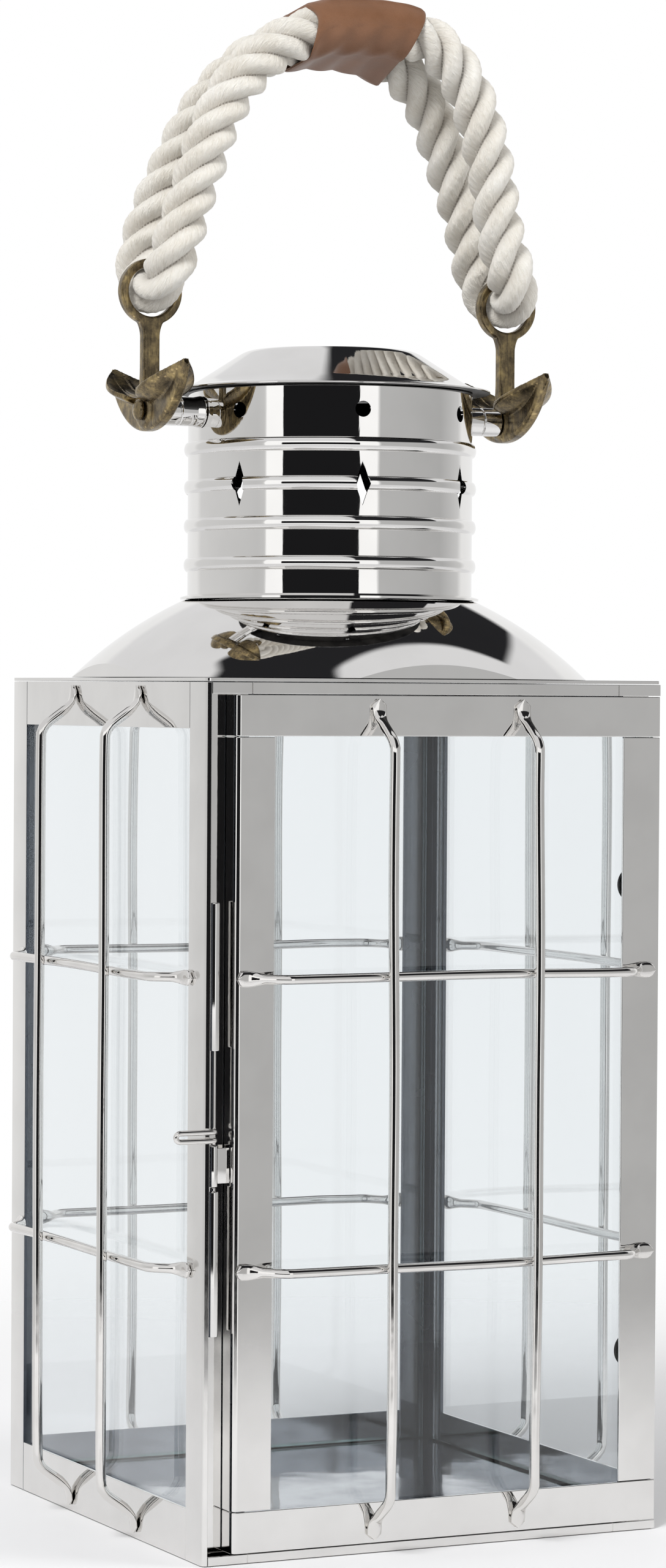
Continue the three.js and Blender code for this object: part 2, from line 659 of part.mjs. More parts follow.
const TOP_RAIL = [FRAME_TOP - TOP_RAIL_H, FRAME_TOP];
const BOTTOM_RAIL = [0, BOTTOM_RAIL_H];
const lantern = new THREE.Group();

lantern.add(
  named("floor_tray", floorTray(), polished),
  named("post_front_left", frontLeftPost(), polished),
  named("jamb_left", leftJamb(), polished),
  named("post_front_right", frontRightPost(), polished),
  named("post_rear_left", rearPost(-1), polished),
  named("post_rear_right", rearPost(1), polished),
  named("header", frontStrip([DOOR_Z[1] + GAP, FRAME_TOP], true), polished),
  named("sill", frontStrip([0, DOOR_Z[0] - GAP], false), polished),
);

for (const face of ["rear", "left", "right"]) {
  const end = HALF - POST_LEG - GAP;
  const span = [-end, face === "right" ? -JAMB_Y - POST_LEG - GAP : end];
  const half = face === "rear" ? HALF - 6 : -JAMB_Y - THIN - GAP - 0.2;
  lantern.add(turnedTo(
    face,
    named(`rail_top_${face}`, sideRail(span, TOP_RAIL, true), polished),
    named(`rail_bottom_${face}`, sideRail(span, BOTTOM_RAIL, false), polished),
    named(`glass_${face}`, pane(half), glass),
  ));
  lantern.add(guards(face, GUARD_SHIFT, GUARD_PITCH, [-HALF + 11.5, HALF - 11.5], [2.5, FRAME_TOP - 1.5]));
}

lantern.add(
  named("roof_plate", roofPlate(), polished),
  named("dome", dome(), polished),
  named("chimney", chimney(), polished),
  named("chimney_cap", chimneyCap(), polished),
  named("handle_lug_right", lug(), polished),
  named("handle_lug_left", lug().rotateZ(Math.PI), polished),
  named("pivot_screw_right", pivotScrew(), brass),
  named("pivot_screw_left", pivotScrew().rotateZ(Math.PI), brass),
);

const doorMid = (DOOR_X[0] + DOOR_X[1]) / 2 - 1;
const doorGuardX = [-DOOR_X[1] + 2.2, -DOOR_X[0] - 0.6]; // turned to the front, so the signs change
const doorGuardZ = [DOOR_Z[0] + 1.4, DOOR_Z[1] - 1.4];
lantern.add(
  named("door_rail_bottom", doorRail([DOOR_Z[0], DOOR_Z[0] + DOOR_RAIL_H], false), polished),
  named("door_rail_top", doorRail([DOOR_Z[1] - DOOR_RAIL_H, DOOR_Z[1]], true), polished),
  named("door_stile_left", doorStile(-1), polished),
  named("door_stile_right", doorStile(1), polished),
  named("door_glass", doorGlass(), glass),
  named("glass_button_lower", glassButton(BUTTON_Z[0]), rubber),
  named("glass_button_upper", glassButton(BUTTON_Z[1]), rubber),
  guards("front", -doorMid, DOOR_PITCH, doorGuardX, doorGuardZ),
  named("door_hinge_lower", doorHinge(HINGE_Z[0]), polished),
  named("door_hinge_upper", doorHinge(HINGE_Z[1]), polished),
  named("frame_hinge_lower", frameHinge(HINGE_Z[0]), polished),
  named("frame_hinge_upper", frameHinge(HINGE_Z[1]), polished),
  named("latch_keeper", latchKeeper(), polished),
  named("latch_barrel_upper", upperBarrel(), polished),
  named("latch_barrel_lower", lowerBarrel(), polished),
  named("latch_pin", latchPin(), polished),
);

lantern.add(
  named("anchor_right", anchor().translate(ANCHOR_X, 0, 0), brass),
  named("anchor_left", anchor().translate(-ANCHOR_X, 0, 0), brass),
  named("rope", rope(), cotton),
  named("leather_grip", grip(), leather),
);

export default lantern;
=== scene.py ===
"""The finished look of the hanging lantern: polished nickel, clear glass, laid cotton rope, leather and
aged brass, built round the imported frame. Lengths are metres, in the frame's own axes."""

import json
import math
import random

import bmesh
import bpy
import numpy as np
from mathutils import Matrix, Vector


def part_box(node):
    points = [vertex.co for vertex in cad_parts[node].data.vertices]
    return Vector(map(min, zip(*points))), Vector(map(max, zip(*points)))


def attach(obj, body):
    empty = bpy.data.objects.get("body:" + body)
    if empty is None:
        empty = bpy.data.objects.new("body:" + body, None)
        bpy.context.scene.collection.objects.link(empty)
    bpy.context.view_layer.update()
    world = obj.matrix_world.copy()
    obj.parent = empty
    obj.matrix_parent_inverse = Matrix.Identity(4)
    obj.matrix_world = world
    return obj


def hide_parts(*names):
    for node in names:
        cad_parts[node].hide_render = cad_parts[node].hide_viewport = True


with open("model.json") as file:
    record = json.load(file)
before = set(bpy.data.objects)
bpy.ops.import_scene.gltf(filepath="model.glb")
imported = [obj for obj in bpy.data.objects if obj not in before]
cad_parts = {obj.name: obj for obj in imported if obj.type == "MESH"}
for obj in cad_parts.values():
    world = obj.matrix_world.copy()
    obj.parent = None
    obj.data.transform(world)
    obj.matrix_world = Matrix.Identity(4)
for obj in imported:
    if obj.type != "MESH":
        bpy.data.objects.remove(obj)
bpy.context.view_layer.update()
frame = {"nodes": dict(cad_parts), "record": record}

MM = 0.001
HALF = 0.1  # half the width of the square case
SEED = 7
BODY_OF = {node: body for body, nodes in frame["record"]["behaviour"]["bodies"].items() for node in nodes}

# ---- camera ----

VIEW_AZIMUTH = math.radians(-25.84)
VIEW_ELEVATION = math.radians(1.16)
VIEW_ROLL = math.radians(0.36)
VIEW_DISTANCE = 1.856
VIEW_TARGET = (0.002, 0.2982)  # to the right of the axis, and height
LENS = 103.4
SENSOR = 36


def placed(name, data):
    obj = bpy.data.objects.new(name, data)
    bpy.context.scene.collection.objects.link(obj)
    return obj


def make_camera():
    back = Vector((
        math.sin(VIEW_AZIMUTH) * math.cos(VIEW_ELEVATION),
        -math.cos(VIEW_AZIMUTH) * math.cos(VIEW_ELEVATION),
        math.sin(VIEW_ELEVATION),
    ))
    right = Vector((math.cos(VIEW_AZIMUTH), math.sin(VIEW_AZIMUTH), 0))
    up = back.cross(right)
    across = right * math.cos(VIEW_ROLL) + up * math.sin(VIEW_ROLL)
    upright = up * math.cos(VIEW_ROLL) - right * math.sin(VIEW_ROLL)
    place = right * VIEW_TARGET[0] + Vector((0, 0, VIEW_TARGET[1])) + back * VIEW_DISTANCE
    data = bpy.data.cameras.new("camera")
    data.lens = LENS
    data.sensor_width = SENSOR
    data.clip_end = 50
    camera = placed("camera", data)
    turn = Matrix((across, upright, back)).transposed()
    camera.matrix_world = Matrix.Translation(place) @ turn.to_4x4()
    bpy.context.scene.camera = camera


make_camera()

# ---- material helpers ----


class Nodes:
    """A short way to write a node tree."""

    def __init__(self, tree):
        self.tree = tree

    def add(self, kind, **values):
        node = self.tree.nodes.new(kind)
        for key, value in values.items():
            if hasattr(node, key):
                setattr(node, key, value)
            else:
                self.set(node, key.replace("_", " "), value)
        return node

    def feed(self, socket, value):
        if hasattr(value, "is_output"):
            self.tree.links.new(value, socket)
        else:
            socket.default_value = value

    def set(self, node, name, value):
        self.feed(next(s for s in node.inputs if s.name.lower() == name.lower() and s.enabled), value)

    def math(self, operation, a, b=0.0, c=0.0):
        node = self.add("ShaderNodeMath", operation=operation)
        for socket, value in zip(node.inputs, (a, b, c)):
            self.feed(socket, value)
        return node.outputs[0]

    def times(self, a, b, plus=None):
        """a times b, plus a third value if there is one."""
        return self.math("MULTIPLY", a, b) if plus is None else self.math("MULTIPLY_ADD", a, b, plus)

    def without(self, a):
        return self.math("SUBTRACT", 1, a)

    def ramp(self, factor, *stops):
        node = self.add("ShaderNodeValToRGB", Fac=factor)
        elements = node.color_ramp.elements
        while len(elements) < len(stops):
            elements.new(0.5)
        for element, (position, colour) in zip(elements, stops):
            element.position = position
            value = colour if isinstance(colour, tuple) else (colour,) * 3
            element.color = (*value, 1)
        return node.outputs["Color"]

    def smooth(self, value, low, high):
        """0 below low, 1 above high, and smooth between."""
        node = self.add("ShaderNodeMapRange", interpolation_type="SMOOTHSTEP", Value=value)
        self.set(node, "From Min", low)
        self.set(node, "From Max", high)
        return node.outputs["Result"]

    def noise(self, vector, scale, detail=2.0, roughness=0.5):
        node = self.add("ShaderNodeTexNoise", Vector=vector, Scale=scale, Detail=detail, Roughness=roughness)
        return node.outputs["Fac"]

    def stretched(self, vector, scale):
        return self.add("ShaderNodeMapping", Vector=vector, Scale=scale).outputs["Vector"]

    def blend(self, factor, a, b):
        node = self.add("ShaderNodeMix", data_type="RGBA")
        for name, value in ((0, factor), (6, a), (7, b)):
            self.feed(node.inputs[name], (*value, 1) if isinstance(value, tuple) else value)
        return node.outputs[2]

    def bump(self, height, distance, strength=1.0, normal=None):
        node = self.add("ShaderNodeBump", Height=height, Distance=distance, Strength=strength)
        if normal is not None:
            self.set(node, "Normal", normal)
        return node.outputs["Normal"]

    def surface(self, colour, roughness, normal):
        shader = self.tree.nodes["Principled BSDF"]
        for name, value in (("Base Color", colour), ("Roughness", roughness), ("Normal", normal)):
            self.set(shader, name, value)


def new_material(name, **sockets):
    """A material, its node helper and its object coordinates."""
    material = bpy.data.materials.new(name)
    material.use_nodes = True
    nodes = Nodes(material.node_tree)
    for key, value in sockets.items():
        nodes.tree.nodes["Principled BSDF"].inputs[key.replace("_", " ")].default_value = value
    where = nodes.add("ShaderNodeTexCoord").outputs["Object"]
    return material, nodes, where


def plated_metal(name, light, dark, wave_scale, wave_depth, low, high):
    """Polished plate: long shallow waves from the sheet, faint wipe marks and fine hairlines."""
    material, nodes, where = new_material(name, Metallic=1.0)
    smudge = nodes.noise(where, 45, 3)
    hairs = nodes.noise(nodes.stretched(where, (260, 260, 24)), 9, 2, 0.7)
    worn = nodes.times(hairs, 0.35, nodes.times(smudge, 0.65))
    wave = nodes.bump(nodes.noise(where, wave_scale, 1.5), wave_depth)
    nodes.surface(
        nodes.blend(nodes.smooth(smudge, 0.3, 0.75), light, dark),
        nodes.times(nodes.smooth(worn, 0.4, 0.75), high - low, low),
        nodes.bump(hairs, 0.000002, 0.6, wave))
    return material


def shaded_inner_plate(name):
    """The inner faces of the sheet: blue-grey, satin, with drawn streaks; their dark tone is painted shade
    for the dim inside of the case.
    """
    material, nodes, where = new_material(name, Metallic=1.0)
    streaks = nodes.noise(nodes.stretched(where, (120, 120, 9)), 3, 3, 0.6)
    patches = nodes.noise(where, 22, 3)
    shade = nodes.times(streaks, 0.5, nodes.times(patches, 0.5))
    nodes.surface(
        nodes.ramp(shade, (0.3, (0.075, 0.085, 0.105)), (0.7, (0.17, 0.185, 0.21))),
        nodes.times(patches, 0.22, 0.14),
        nodes.bump(streaks, 0.00001, 0.5))
    return material


def shaded_underside_plate(name):
    """The inside of the chimney and the undersides of the roof and cap, near black: painted shade where
    little light reaches.
    """
    material, nodes, where = new_material(name, Metallic=1.0)
    shade_mottle = nodes.noise(where, 60, 4, 0.6)
    nodes.surface(
        nodes.ramp(shade_mottle, (0.3, (0.012, 0.012, 0.013)), (0.7, (0.05, 0.048, 0.046))),
        nodes.times(shade_mottle, 0.4, 0.25),
        nodes.bump(shade_mottle, 0.00008, 0.6))
    return material


def clear_glass(name, tint, smear):
    """Float glass with a faint haze and a slight wave; smear dulls the tint where the haze lies."""
    material, nodes, where = new_material(name, Transmission_Weight=1.0, IOR=1.45)
    haze = nodes.noise(where, 14, 3)
    nodes.surface(
        nodes.blend(haze, tint, tuple(c * smear for c in tint)),
        nodes.times(nodes.smooth(haze, 0.62, 0.9), 0.04),
        nodes.bump(nodes.noise(where, 9, 1), 0.00004))
    return material


def aged_brass(name):
    """Browned cast brass: dark in the hollows, rubbed bright on the edges and the high places."""
    material, nodes, where = new_material(name, Metallic=1.0)
    edge = nodes.add("ShaderNodeNewGeometry").outputs["Pointiness"]
    patches = nodes.noise(where, 140, 5, 0.65)
    streaks = nodes.noise(nodes.stretched(where, (900, 900, 160)), 1, 3, 0.6)
    tone = nodes.times(patches, 0.7, nodes.times(streaks, 0.3))
    body = nodes.ramp(
        tone, (0.36, (0.075, 0.06, 0.042)), (0.5, (0.20, 0.155, 0.09)), (0.66, (0.48, 0.365, 0.175)))
    rubbed = nodes.times(nodes.smooth(edge, 0.52, 0.60), nodes.smooth(patches, 0.3, 0.55))
    rubbed = nodes.times(rubbed, 0.7)
    nodes.surface(
        nodes.blend(rubbed, body, (0.62, 0.47, 0.24)),
        nodes.times(tone, 0.26, 0.15),
        nodes.bump(patches, 0.00010, 0.6))
    return material


def laid_cotton(name):
    """Off-white cotton: fine yarns along the rope, fluff, and shade in the grooves between strands."""
    material, nodes, where = new_material(
        name, Sheen_Weight=0.35, Sheen_Roughness=0.6, Specular_IOR_Level=0.25)
    groove = nodes.add("ShaderNodeAttribute", attribute_name="groove").outputs["Fac"]
    along = nodes.add("ShaderNodeUVMap", uv_map="UVMap").outputs["UV"]
    yarns = nodes.noise(nodes.stretched(along, (11, 70, 1)), 1, 4, 0.75)
    fluff = nodes.noise(where, 1300, 5, 0.75)
    patches = nodes.noise(where, 60, 3)
    body = nodes.ramp(nodes.times(yarns, 0.55, nodes.times(patches, 0.45)),
                      (0.34, (0.74, 0.685, 0.59)), (0.5, (0.87, 0.83, 0.75)), (0.66, (0.94, 0.915, 0.855)))
    shade = nodes.times(nodes.smooth(groove, 0.88, 1.0), 0.62,
                       nodes.times(nodes.smooth(groove, 0.4, 1.0), 0.22))
    rough = nodes.bump(fluff, 0.0004, 0.6)
    nodes.surface(nodes.blend(shade, body, (0.30, 0.24, 0.18)), 0.95, nodes.bump(yarns, 0.0016, 0.9, rough))
    return material


def tan_leather(name):
    """Smooth tan leather: fine pebbled grain, darker rubbed patches and a soft shine."""
    material, nodes, where = new_material(name, Specular_IOR_Level=0.4)
    grain = nodes.add("ShaderNodeTexVoronoi", feature="DISTANCE_TO_EDGE", Scale=1700.0, Vector=where)
    pebbles = nodes.smooth(grain.outputs["Distance"], 0.0, 0.22)
    patches = nodes.noise(where, 55, 4, 0.55)
    body = nodes.ramp(
        patches, (0.3, (0.165, 0.078, 0.04)), (0.52, (0.195, 0.094, 0.05)), (0.75, (0.235, 0.118, 0.066)))
    creases = nodes.times(pebbles, -0.18, 0.18)
    nodes.surface(
        nodes.blend(creases, body, (0.09, 0.04, 0.02)),
        nodes.times(patches, 0.18, 0.34),
        nodes.bump(pebbles, 0.00005, 0.5, nodes.bump(patches, 0.0004, 0.3)))
    return material


def black_rubber(name):
    """Matte moulded rubber with a fine speckle."""
    material, nodes, where = new_material(name, Specular_IOR_Level=0.3)
    speckle = nodes.noise(where, 900, 3)
    nodes.surface(
        nodes.ramp(speckle, (0.3, 0.012), (0.8, 0.035)),
        nodes.times(speckle, 0.25, 0.45),
        nodes.bump(speckle, 0.00006, 0.5))
    return material


SHEET = plated_metal("nickel_sheet", (0.80, 0.79, 0.775), (0.75, 0.74, 0.725), 16, 0.0005, 0.03, 0.10)
SPUN = plated_metal("nickel_spun", (0.83, 0.82, 0.805), (0.79, 0.78, 0.765), 26, 0.00012, 0.015, 0.05)
WIRE = plated_metal("nickel_wire", (0.80, 0.785, 0.765), (0.72, 0.705, 0.685), 60, 0.00012, 0.04, 0.10)
# Faces that look into the case get a dark blue-grey copy of the nickel: painted shade.
INNER_SHADE = shaded_inner_plate("inner_painted_shade")
# Near-black finish for faces that look down or into the chimney: painted shade.
UNDERSIDE_SHADE = shaded_underside_plate("shaded_underside_plate")
PANE = clear_glass("pane_glass", (0.922, 0.942, 0.953), 0.985)
PANE_EDGE = clear_glass("pane_edge", (0.50, 0.70, 0.64), 0.9)
# A darker, smooth copy of the nickel for the tray and the bottom rails' inner faces and lip: painted shade of
# the case's inside.
TRAY_SHADE = plated_metal("tray_painted_shade", (0.46, 0.47, 0.50), (0.30, 0.31, 0.34), 30, 0.0006, 0.05, 0.2)
BRASS = aged_brass("antique_brass")
COTTON = laid_cotton("laid_cotton")
LEATHER = tan_leather("tan_leather")
RUBBER = black_rubber("black_rubber")

# ---- mesh helpers ----

SAME_POINT = 2e-6
FLAT_WITHIN = math.radians(0.5)
EDGE_ABOVE = math.radians(30)
FOLD_R = 2.4 * MM


def smooth_by_angle(mesh, degrees):
    mesh.polygons.foreach_set("use_smooth", [True] * len(mesh.polygons))
    mesh.set_sharp_from_angle(angle=math.radians(degrees))


def keep_flats_flat(mesh):
    """Smooth normals weighted by area, so that large flats stay true and only the eased edges turn."""
    total = [Vector() for _ in mesh.vertices]
    for face in mesh.polygons:
        for v in face.vertices:
            total[v] += face.normal * face.area
    mesh.polygons.foreach_set("use_smooth", [True] * len(mesh.polygons))
    mesh.normals_split_custom_set_from_vertices([n.normalized() for n in total])


def piece(name, mesh, materials, node, sharp=0):
    """Makes the mesh a finished piece that stands for a CAD node and moves with its body. Edges stay sharp
    above that many degrees; with 0, none does, and the flats are kept flat."""
    obj = placed(name, mesh)
    for material in materials:
        mesh.materials.append(material)
    if sharp:
        smooth_by_angle(mesh, sharp)
    else:
        keep_flats_flat(mesh)
    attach(obj, BODY_OF[node])
    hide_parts(node)
    return obj


def mesh_of(name, points, faces):
    mesh = bpy.data.meshes.new(name)
    mesh.from_pydata([tuple(p) for p in points], [], faces)
    work = bmesh.new()
    work.from_mesh(mesh)
    bmesh.ops.recalc_face_normals(work, faces=work.faces)
    work.to_mesh(mesh)
    work.free()
    return mesh


def loft(name, rings, closed=False):
    """A skin over rings of equal counts: capped at its two ends, or closed on itself."""
    rings = np.asarray(rings, float)
    count, around = rings.shape[:2]
    points = rings.reshape(-1, 3)
    faces = []
    for i in range(count if closed else count - 1):
        j = (i + 1) % count
        for k in range(around):
            n = (k + 1) % around
            faces.append((i * around + k, i * around + n, j * around + n, j * around + k))
    if not closed:
        faces.append(tuple(range(around)))
        faces.append(tuple((count - 1) * around + k for k in reversed(range(around))))
    return mesh_of(name, points, faces)


def rounded(profile, radius, closed=True, steps=3):
    """The profile with each corner eased by up to the radius."""
    points = [np.array(p, float) for p in profile]
    count = len(points)
    out = []
    for i, here in enumerate(points):
        if not closed and i in (0, count - 1):
            out.append(here)
            continue
        came, goes = points[i - 1] - here, points[(i + 1) % count] - here
        a, b = np.linalg.norm(came), np.linalg.norm(goes)
        ease = min(radius, a * 0.45, b * 0.45)
        start, end = here + came / a * ease, here + goes / b * ease
        for s in np.linspace(0, 1, steps + 1):
            out.append((1 - s) ** 2 * start + 2 * s * (1 - s) * here + s * s * end)
    return out


def around_once(count):
    """Evenly spaced angles of one turn."""
    return np.linspace(0, 2 * math.pi, count, endpoint=False)


def turned(name, profile, segments, closed=True):
    """A solid of revolution about Z. An open profile starts and ends on the axis."""
    angles = around_once(segments)
    profile = np.array(profile, float)
    if not closed:
        profile[0, 0] = profile[-1, 0] = 1e-6
    rings = [np.column_stack((r * np.cos(angles), r * np.sin(angles), np.full(segments, z)))
             for r, z in profile]
    return loft(name, rings, closed)


def rod(radius, low, high, segments):
    """A plain cylinder about Z, used to cut bores and to fill them."""
    return turned("rod", [(0, low), (radius, low), (radius, high), (0, high)], segments, closed=False)


def moved(mesh, matrix):
    mesh.transform(matrix)
    return mesh


def along_x(x=0.0, y=0.0, z=0.0, sign=1):
    """Turns a piece made about +Z so that it lies along +X, or -X, through the point."""
    return Matrix.Translation((x, y, z)) @ Matrix.Rotation(sign * math.pi / 2, 4, "Y")


def joined(name, *meshes):
    points, faces = [], []
    for mesh in meshes:
        base = len(points)
        points += [tuple(v.co) for v in mesh.vertices]
        faces += [tuple(base + i for i in p.vertices) for p in mesh.polygons]
    out = bpy.data.meshes.new(name)
    out.from_pydata(points, [], faces)
    return out


def boolean(base, operation, tool):
    """Base cut by, joined to or kept inside tool."""
    a, b = placed("work", base), placed("work", tool)
    modifier = a.modifiers.new("work", "BOOLEAN")
    modifier.operation = operation
    modifier.solver = "EXACT"
    modifier.object = b
    modifier.use_self = operation == "UNION"
    graph = bpy.context.evaluated_depsgraph_get()
    out = bpy.data.meshes.new_from_object(a.evaluated_get(graph))
    for obj in (a, b):
        bpy.data.objects.remove(obj)
    return out


def block(low, high, bevel=0.0):
    """A box between two corners, with eased edges."""
    work = bmesh.new()
    bmesh.ops.create_cube(work, size=1)
    low, high = Vector(low), Vector(high)
    for v in work.verts:
        v.co = Vector((v.co[i] + 0.5) * (high[i] - low[i]) + low[i] for i in range(3))
    if bevel:
        bmesh.ops.bevel(work, geom=work.edges[:], offset=bevel, segments=2, profile=0.5, affect="EDGES")
    mesh = bpy.data.meshes.new("block")
    work.to_mesh(mesh)
    work.free()
    return mesh


def refined(node, materials, bevel=0.25 * MM, inside=None, folded=None):
    """A CAD sheet with its flat faces made whole, its edges eased, and its inner faces another finish.
    The edges that folded picks are rounded like a fold."""
    work = bmesh.new()
    work.from_mesh(frame["nodes"][node].data)
    bmesh.ops.remove_doubles(work, verts=work.verts, dist=SAME_POINT)
    bmesh.ops.dissolve_limit(work, angle_limit=FLAT_WITHIN, verts=work.verts, edges=work.edges)
    if folded:
        folds = [e for e in work.edges if folded((e.verts[0].co + e.verts[1].co) / 2)]
        bmesh.ops.bevel(work, geom=folds, offset=FOLD_R, segments=6, profile=0.5, affect="EDGES")
    edges = [e for e in work.edges if len(e.link_faces) == 2 and e.calc_face_angle() > EDGE_ABOVE]
    bmesh.ops.bevel(
        work, geom=edges, offset=bevel, segments=2, profile=0.6, affect="EDGES", clamp_overlap=True)
    bmesh.ops.triangulate(work, faces=[f for f in work.faces if len(f.verts) > 4])
    mesh = bpy.data.meshes.new(node)
    work.to_mesh(mesh)
    work.free()
    if inside is not None:
        for face in mesh.polygons:
            face.material_index = 1 if inside(face.center, face.normal) else 0
    return piece("skin_" + node, mesh, materials, node)


# ---- rope and grip ----

ROPE_D = 0.018
ROPE_LAY = 0.0415  # travel of one strand's full turn
STRAND_CENTRE = 0.0050  # from the rope's axis
STRAND_R = 0.0053
RING_Z = 0.4973  # where the rope is squeezed in the anchors' rings
# The route that the rope's solid follows: right front strand, right ring, rear strand, left ring, left
# front strand.
ROPE_ROUTE = [
    (0.012, -0.0094, 0.608), (0.027, -0.0095, 0.6074), (0.0415, -0.0099, 0.6034), (0.0515, -0.0105, 0.594),
    (0.0586, -0.0112, 0.582), (0.0636, -0.0121, 0.5675), (0.067, -0.013, 0.5525), (0.0692, -0.014, 0.5365),
    (0.0718, -0.0149, 0.5215), (0.0756, -0.0152, 0.5095), (0.0794, -0.0108, 0.5006), (0.0812, 0, 0.4973),
    (0.0798, 0.0108, 0.5006), (0.0766, 0.0152, 0.5095), (0.0728, 0.0149, 0.5235), (0.0683, 0.014, 0.5385),
    (0.0626, 0.013, 0.552), (0.057, 0.0119, 0.565), (0.051, 0.0108, 0.5775), (0.043, 0.01, 0.5885),
    (0.0315, 0.0095, 0.5975), (0.016, 0.0094, 0.603), (0, 0.0094, 0.604), (-0.016, 0.0095, 0.6022),
    (-0.031, 0.0099, 0.5955), (-0.044, 0.0106, 0.5845), (-0.0555, 0.0114, 0.5695), (-0.065, 0.0126, 0.551),
    (-0.073, 0.014, 0.532), (-0.0782, 0.0151, 0.5145), (-0.0808, 0.0108, 0.5008), (-0.0812, 0, 0.4973),
    (-0.0804, -0.0108, 0.5006), (-0.0776, -0.0151, 0.5115), (-0.0714, -0.0142, 0.529),
    (-0.0646, -0.0129, 0.5475), (-0.057, -0.0116, 0.567), (-0.0455, -0.0104, 0.5845),
    (-0.029, -0.0097, 0.5985), (-0.009, -0.0094, 0.6064), (0.0112, -0.0094, 0.608),
]


def centripetal(points, per_span=24):
    """A centripetal Catmull-Rom curve through the points."""
    p = [np.array(q, float) for q in points]
    p = [2 * p[0] - p[1], *p, 2 * p[-1] - p[-2]]
    out = []
    for a, b, c, d in zip(p, p[1:], p[2:], p[3:]):
        t = np.cumsum([0, *(np.linalg.norm(y - x) ** 0.5 for x, y in ((a, b), (b, c), (c, d)))])
        for s in np.linspace(t[1], t[2], per_span, endpoint=False):
            mix = lambda x, y, i, j: (t[j] - s) / (t[j] - t[i]) * x + (s - t[i]) / (t[j] - t[i]) * y
            ab, bc, cd = mix(a, b, 0, 1), mix(b, c, 1, 2), mix(c, d, 2, 3)
            out.append(mix(mix(ab, bc, 0, 2), mix(bc, cd, 1, 3), 1, 2))
    return np.array([*out, p[-2]])


def resampled(points, count):
    points = np.asarray(points, float)
    lengths = np.concatenate(([0], np.cumsum(np.linalg.norm(np.diff(points, axis=0), axis=1))))
    at = np.linspace(0, lengths[-1], count)
    return np.column_stack([np.interp(at, lengths, points[:, i]) for i in range(3)]), lengths[-1]


def carried_frames(points):
    """Two cross directions carried along a curve without twist."""
    tangents = np.gradient(points, axis=0)
    tangents /= np.linalg.norm(tangents, axis=1)[:, None]
    normal = np.cross(tangents[0], (0, 1, 0))
    normals = []
    for t in tangents:
        normal = normal - t * (normal @ t)
        normal /= np.linalg.norm(normal)
        normals.append(normal)
    normals = np.array(normals)
    return normals, np.cross(tangents, normals)


def strand_outline(angle):
    """Distance from the rope's axis to its skin, and how deep the point lies in a groove, 0 to 1."""
    lobe = (angle + math.pi / 3) % (2 * math.pi / 3) - math.pi / 3
    reach = STRAND_CENTRE * np.cos(lobe) + np.sqrt(STRAND_R ** 2 - (STRAND_CENTRE * np.sin(lobe)) ** 2)
    return reach, np.abs(lobe) / (math.pi / 3)


def make_rope():
    """Three strands laid together along the route, slightly uneven. Gives back the rope's centre line."""
    around, steps = 90, 640
    curve = centripetal(ROPE_ROUTE)
    points, length = resampled(curve, steps)
    normals, sides = carried_frames(points)
    angles = around_once(around)
    rng = np.random.default_rng(SEED)
    sway = np.interp(np.arange(steps), np.arange(0, steps + 20, 20), rng.normal(0, 0.00018, steps // 20 + 1))
    rings, grooves, maps = [], [], []
    for i in range(steps):
        travelled = length * i / (steps - 1)
        reach, groove = strand_outline(angles - 2 * math.pi * travelled / ROPE_LAY)
        pinch = 1 - 0.12 * math.exp(-((points[i][2] - RING_Z) / 0.006) ** 2)
        reach = reach * pinch + sway[i] + 0.00012 * np.sin(angles * 17 + travelled * 900)
        out = np.outer(np.cos(angles), normals[i]) + np.outer(np.sin(angles), sides[i])
        rings.append(points[i] + out * reach[:, None])
        grooves.append(groove)
        maps.append(np.column_stack((np.full(around, travelled / ROPE_LAY), angles / (2 * math.pi))))
    mesh = loft("rope", rings)
    attribute = mesh.attributes.new("groove", "FLOAT", "POINT")
    attribute.data.foreach_set("value", np.concatenate(grooves).astype(np.float32))
    coordinates = np.concatenate(maps)
    layer = mesh.uv_layers.new(name="UVMap")
    for polygon in mesh.polygons:
        corners = [coordinates[v] for v in polygon.vertices]
        wraps = max(c[1] for c in corners) - min(c[1] for c in corners) > 0.5
        for loop, (u, v) in zip(polygon.loop_indices, corners):
            layer.data[loop].uv = (u, v + 1 if wraps and v < 0.5 else v)
    rope = piece("laid_rope", mesh, [COTTON], "rope", sharp=80)
    return curve


rope_curve = make_rope()


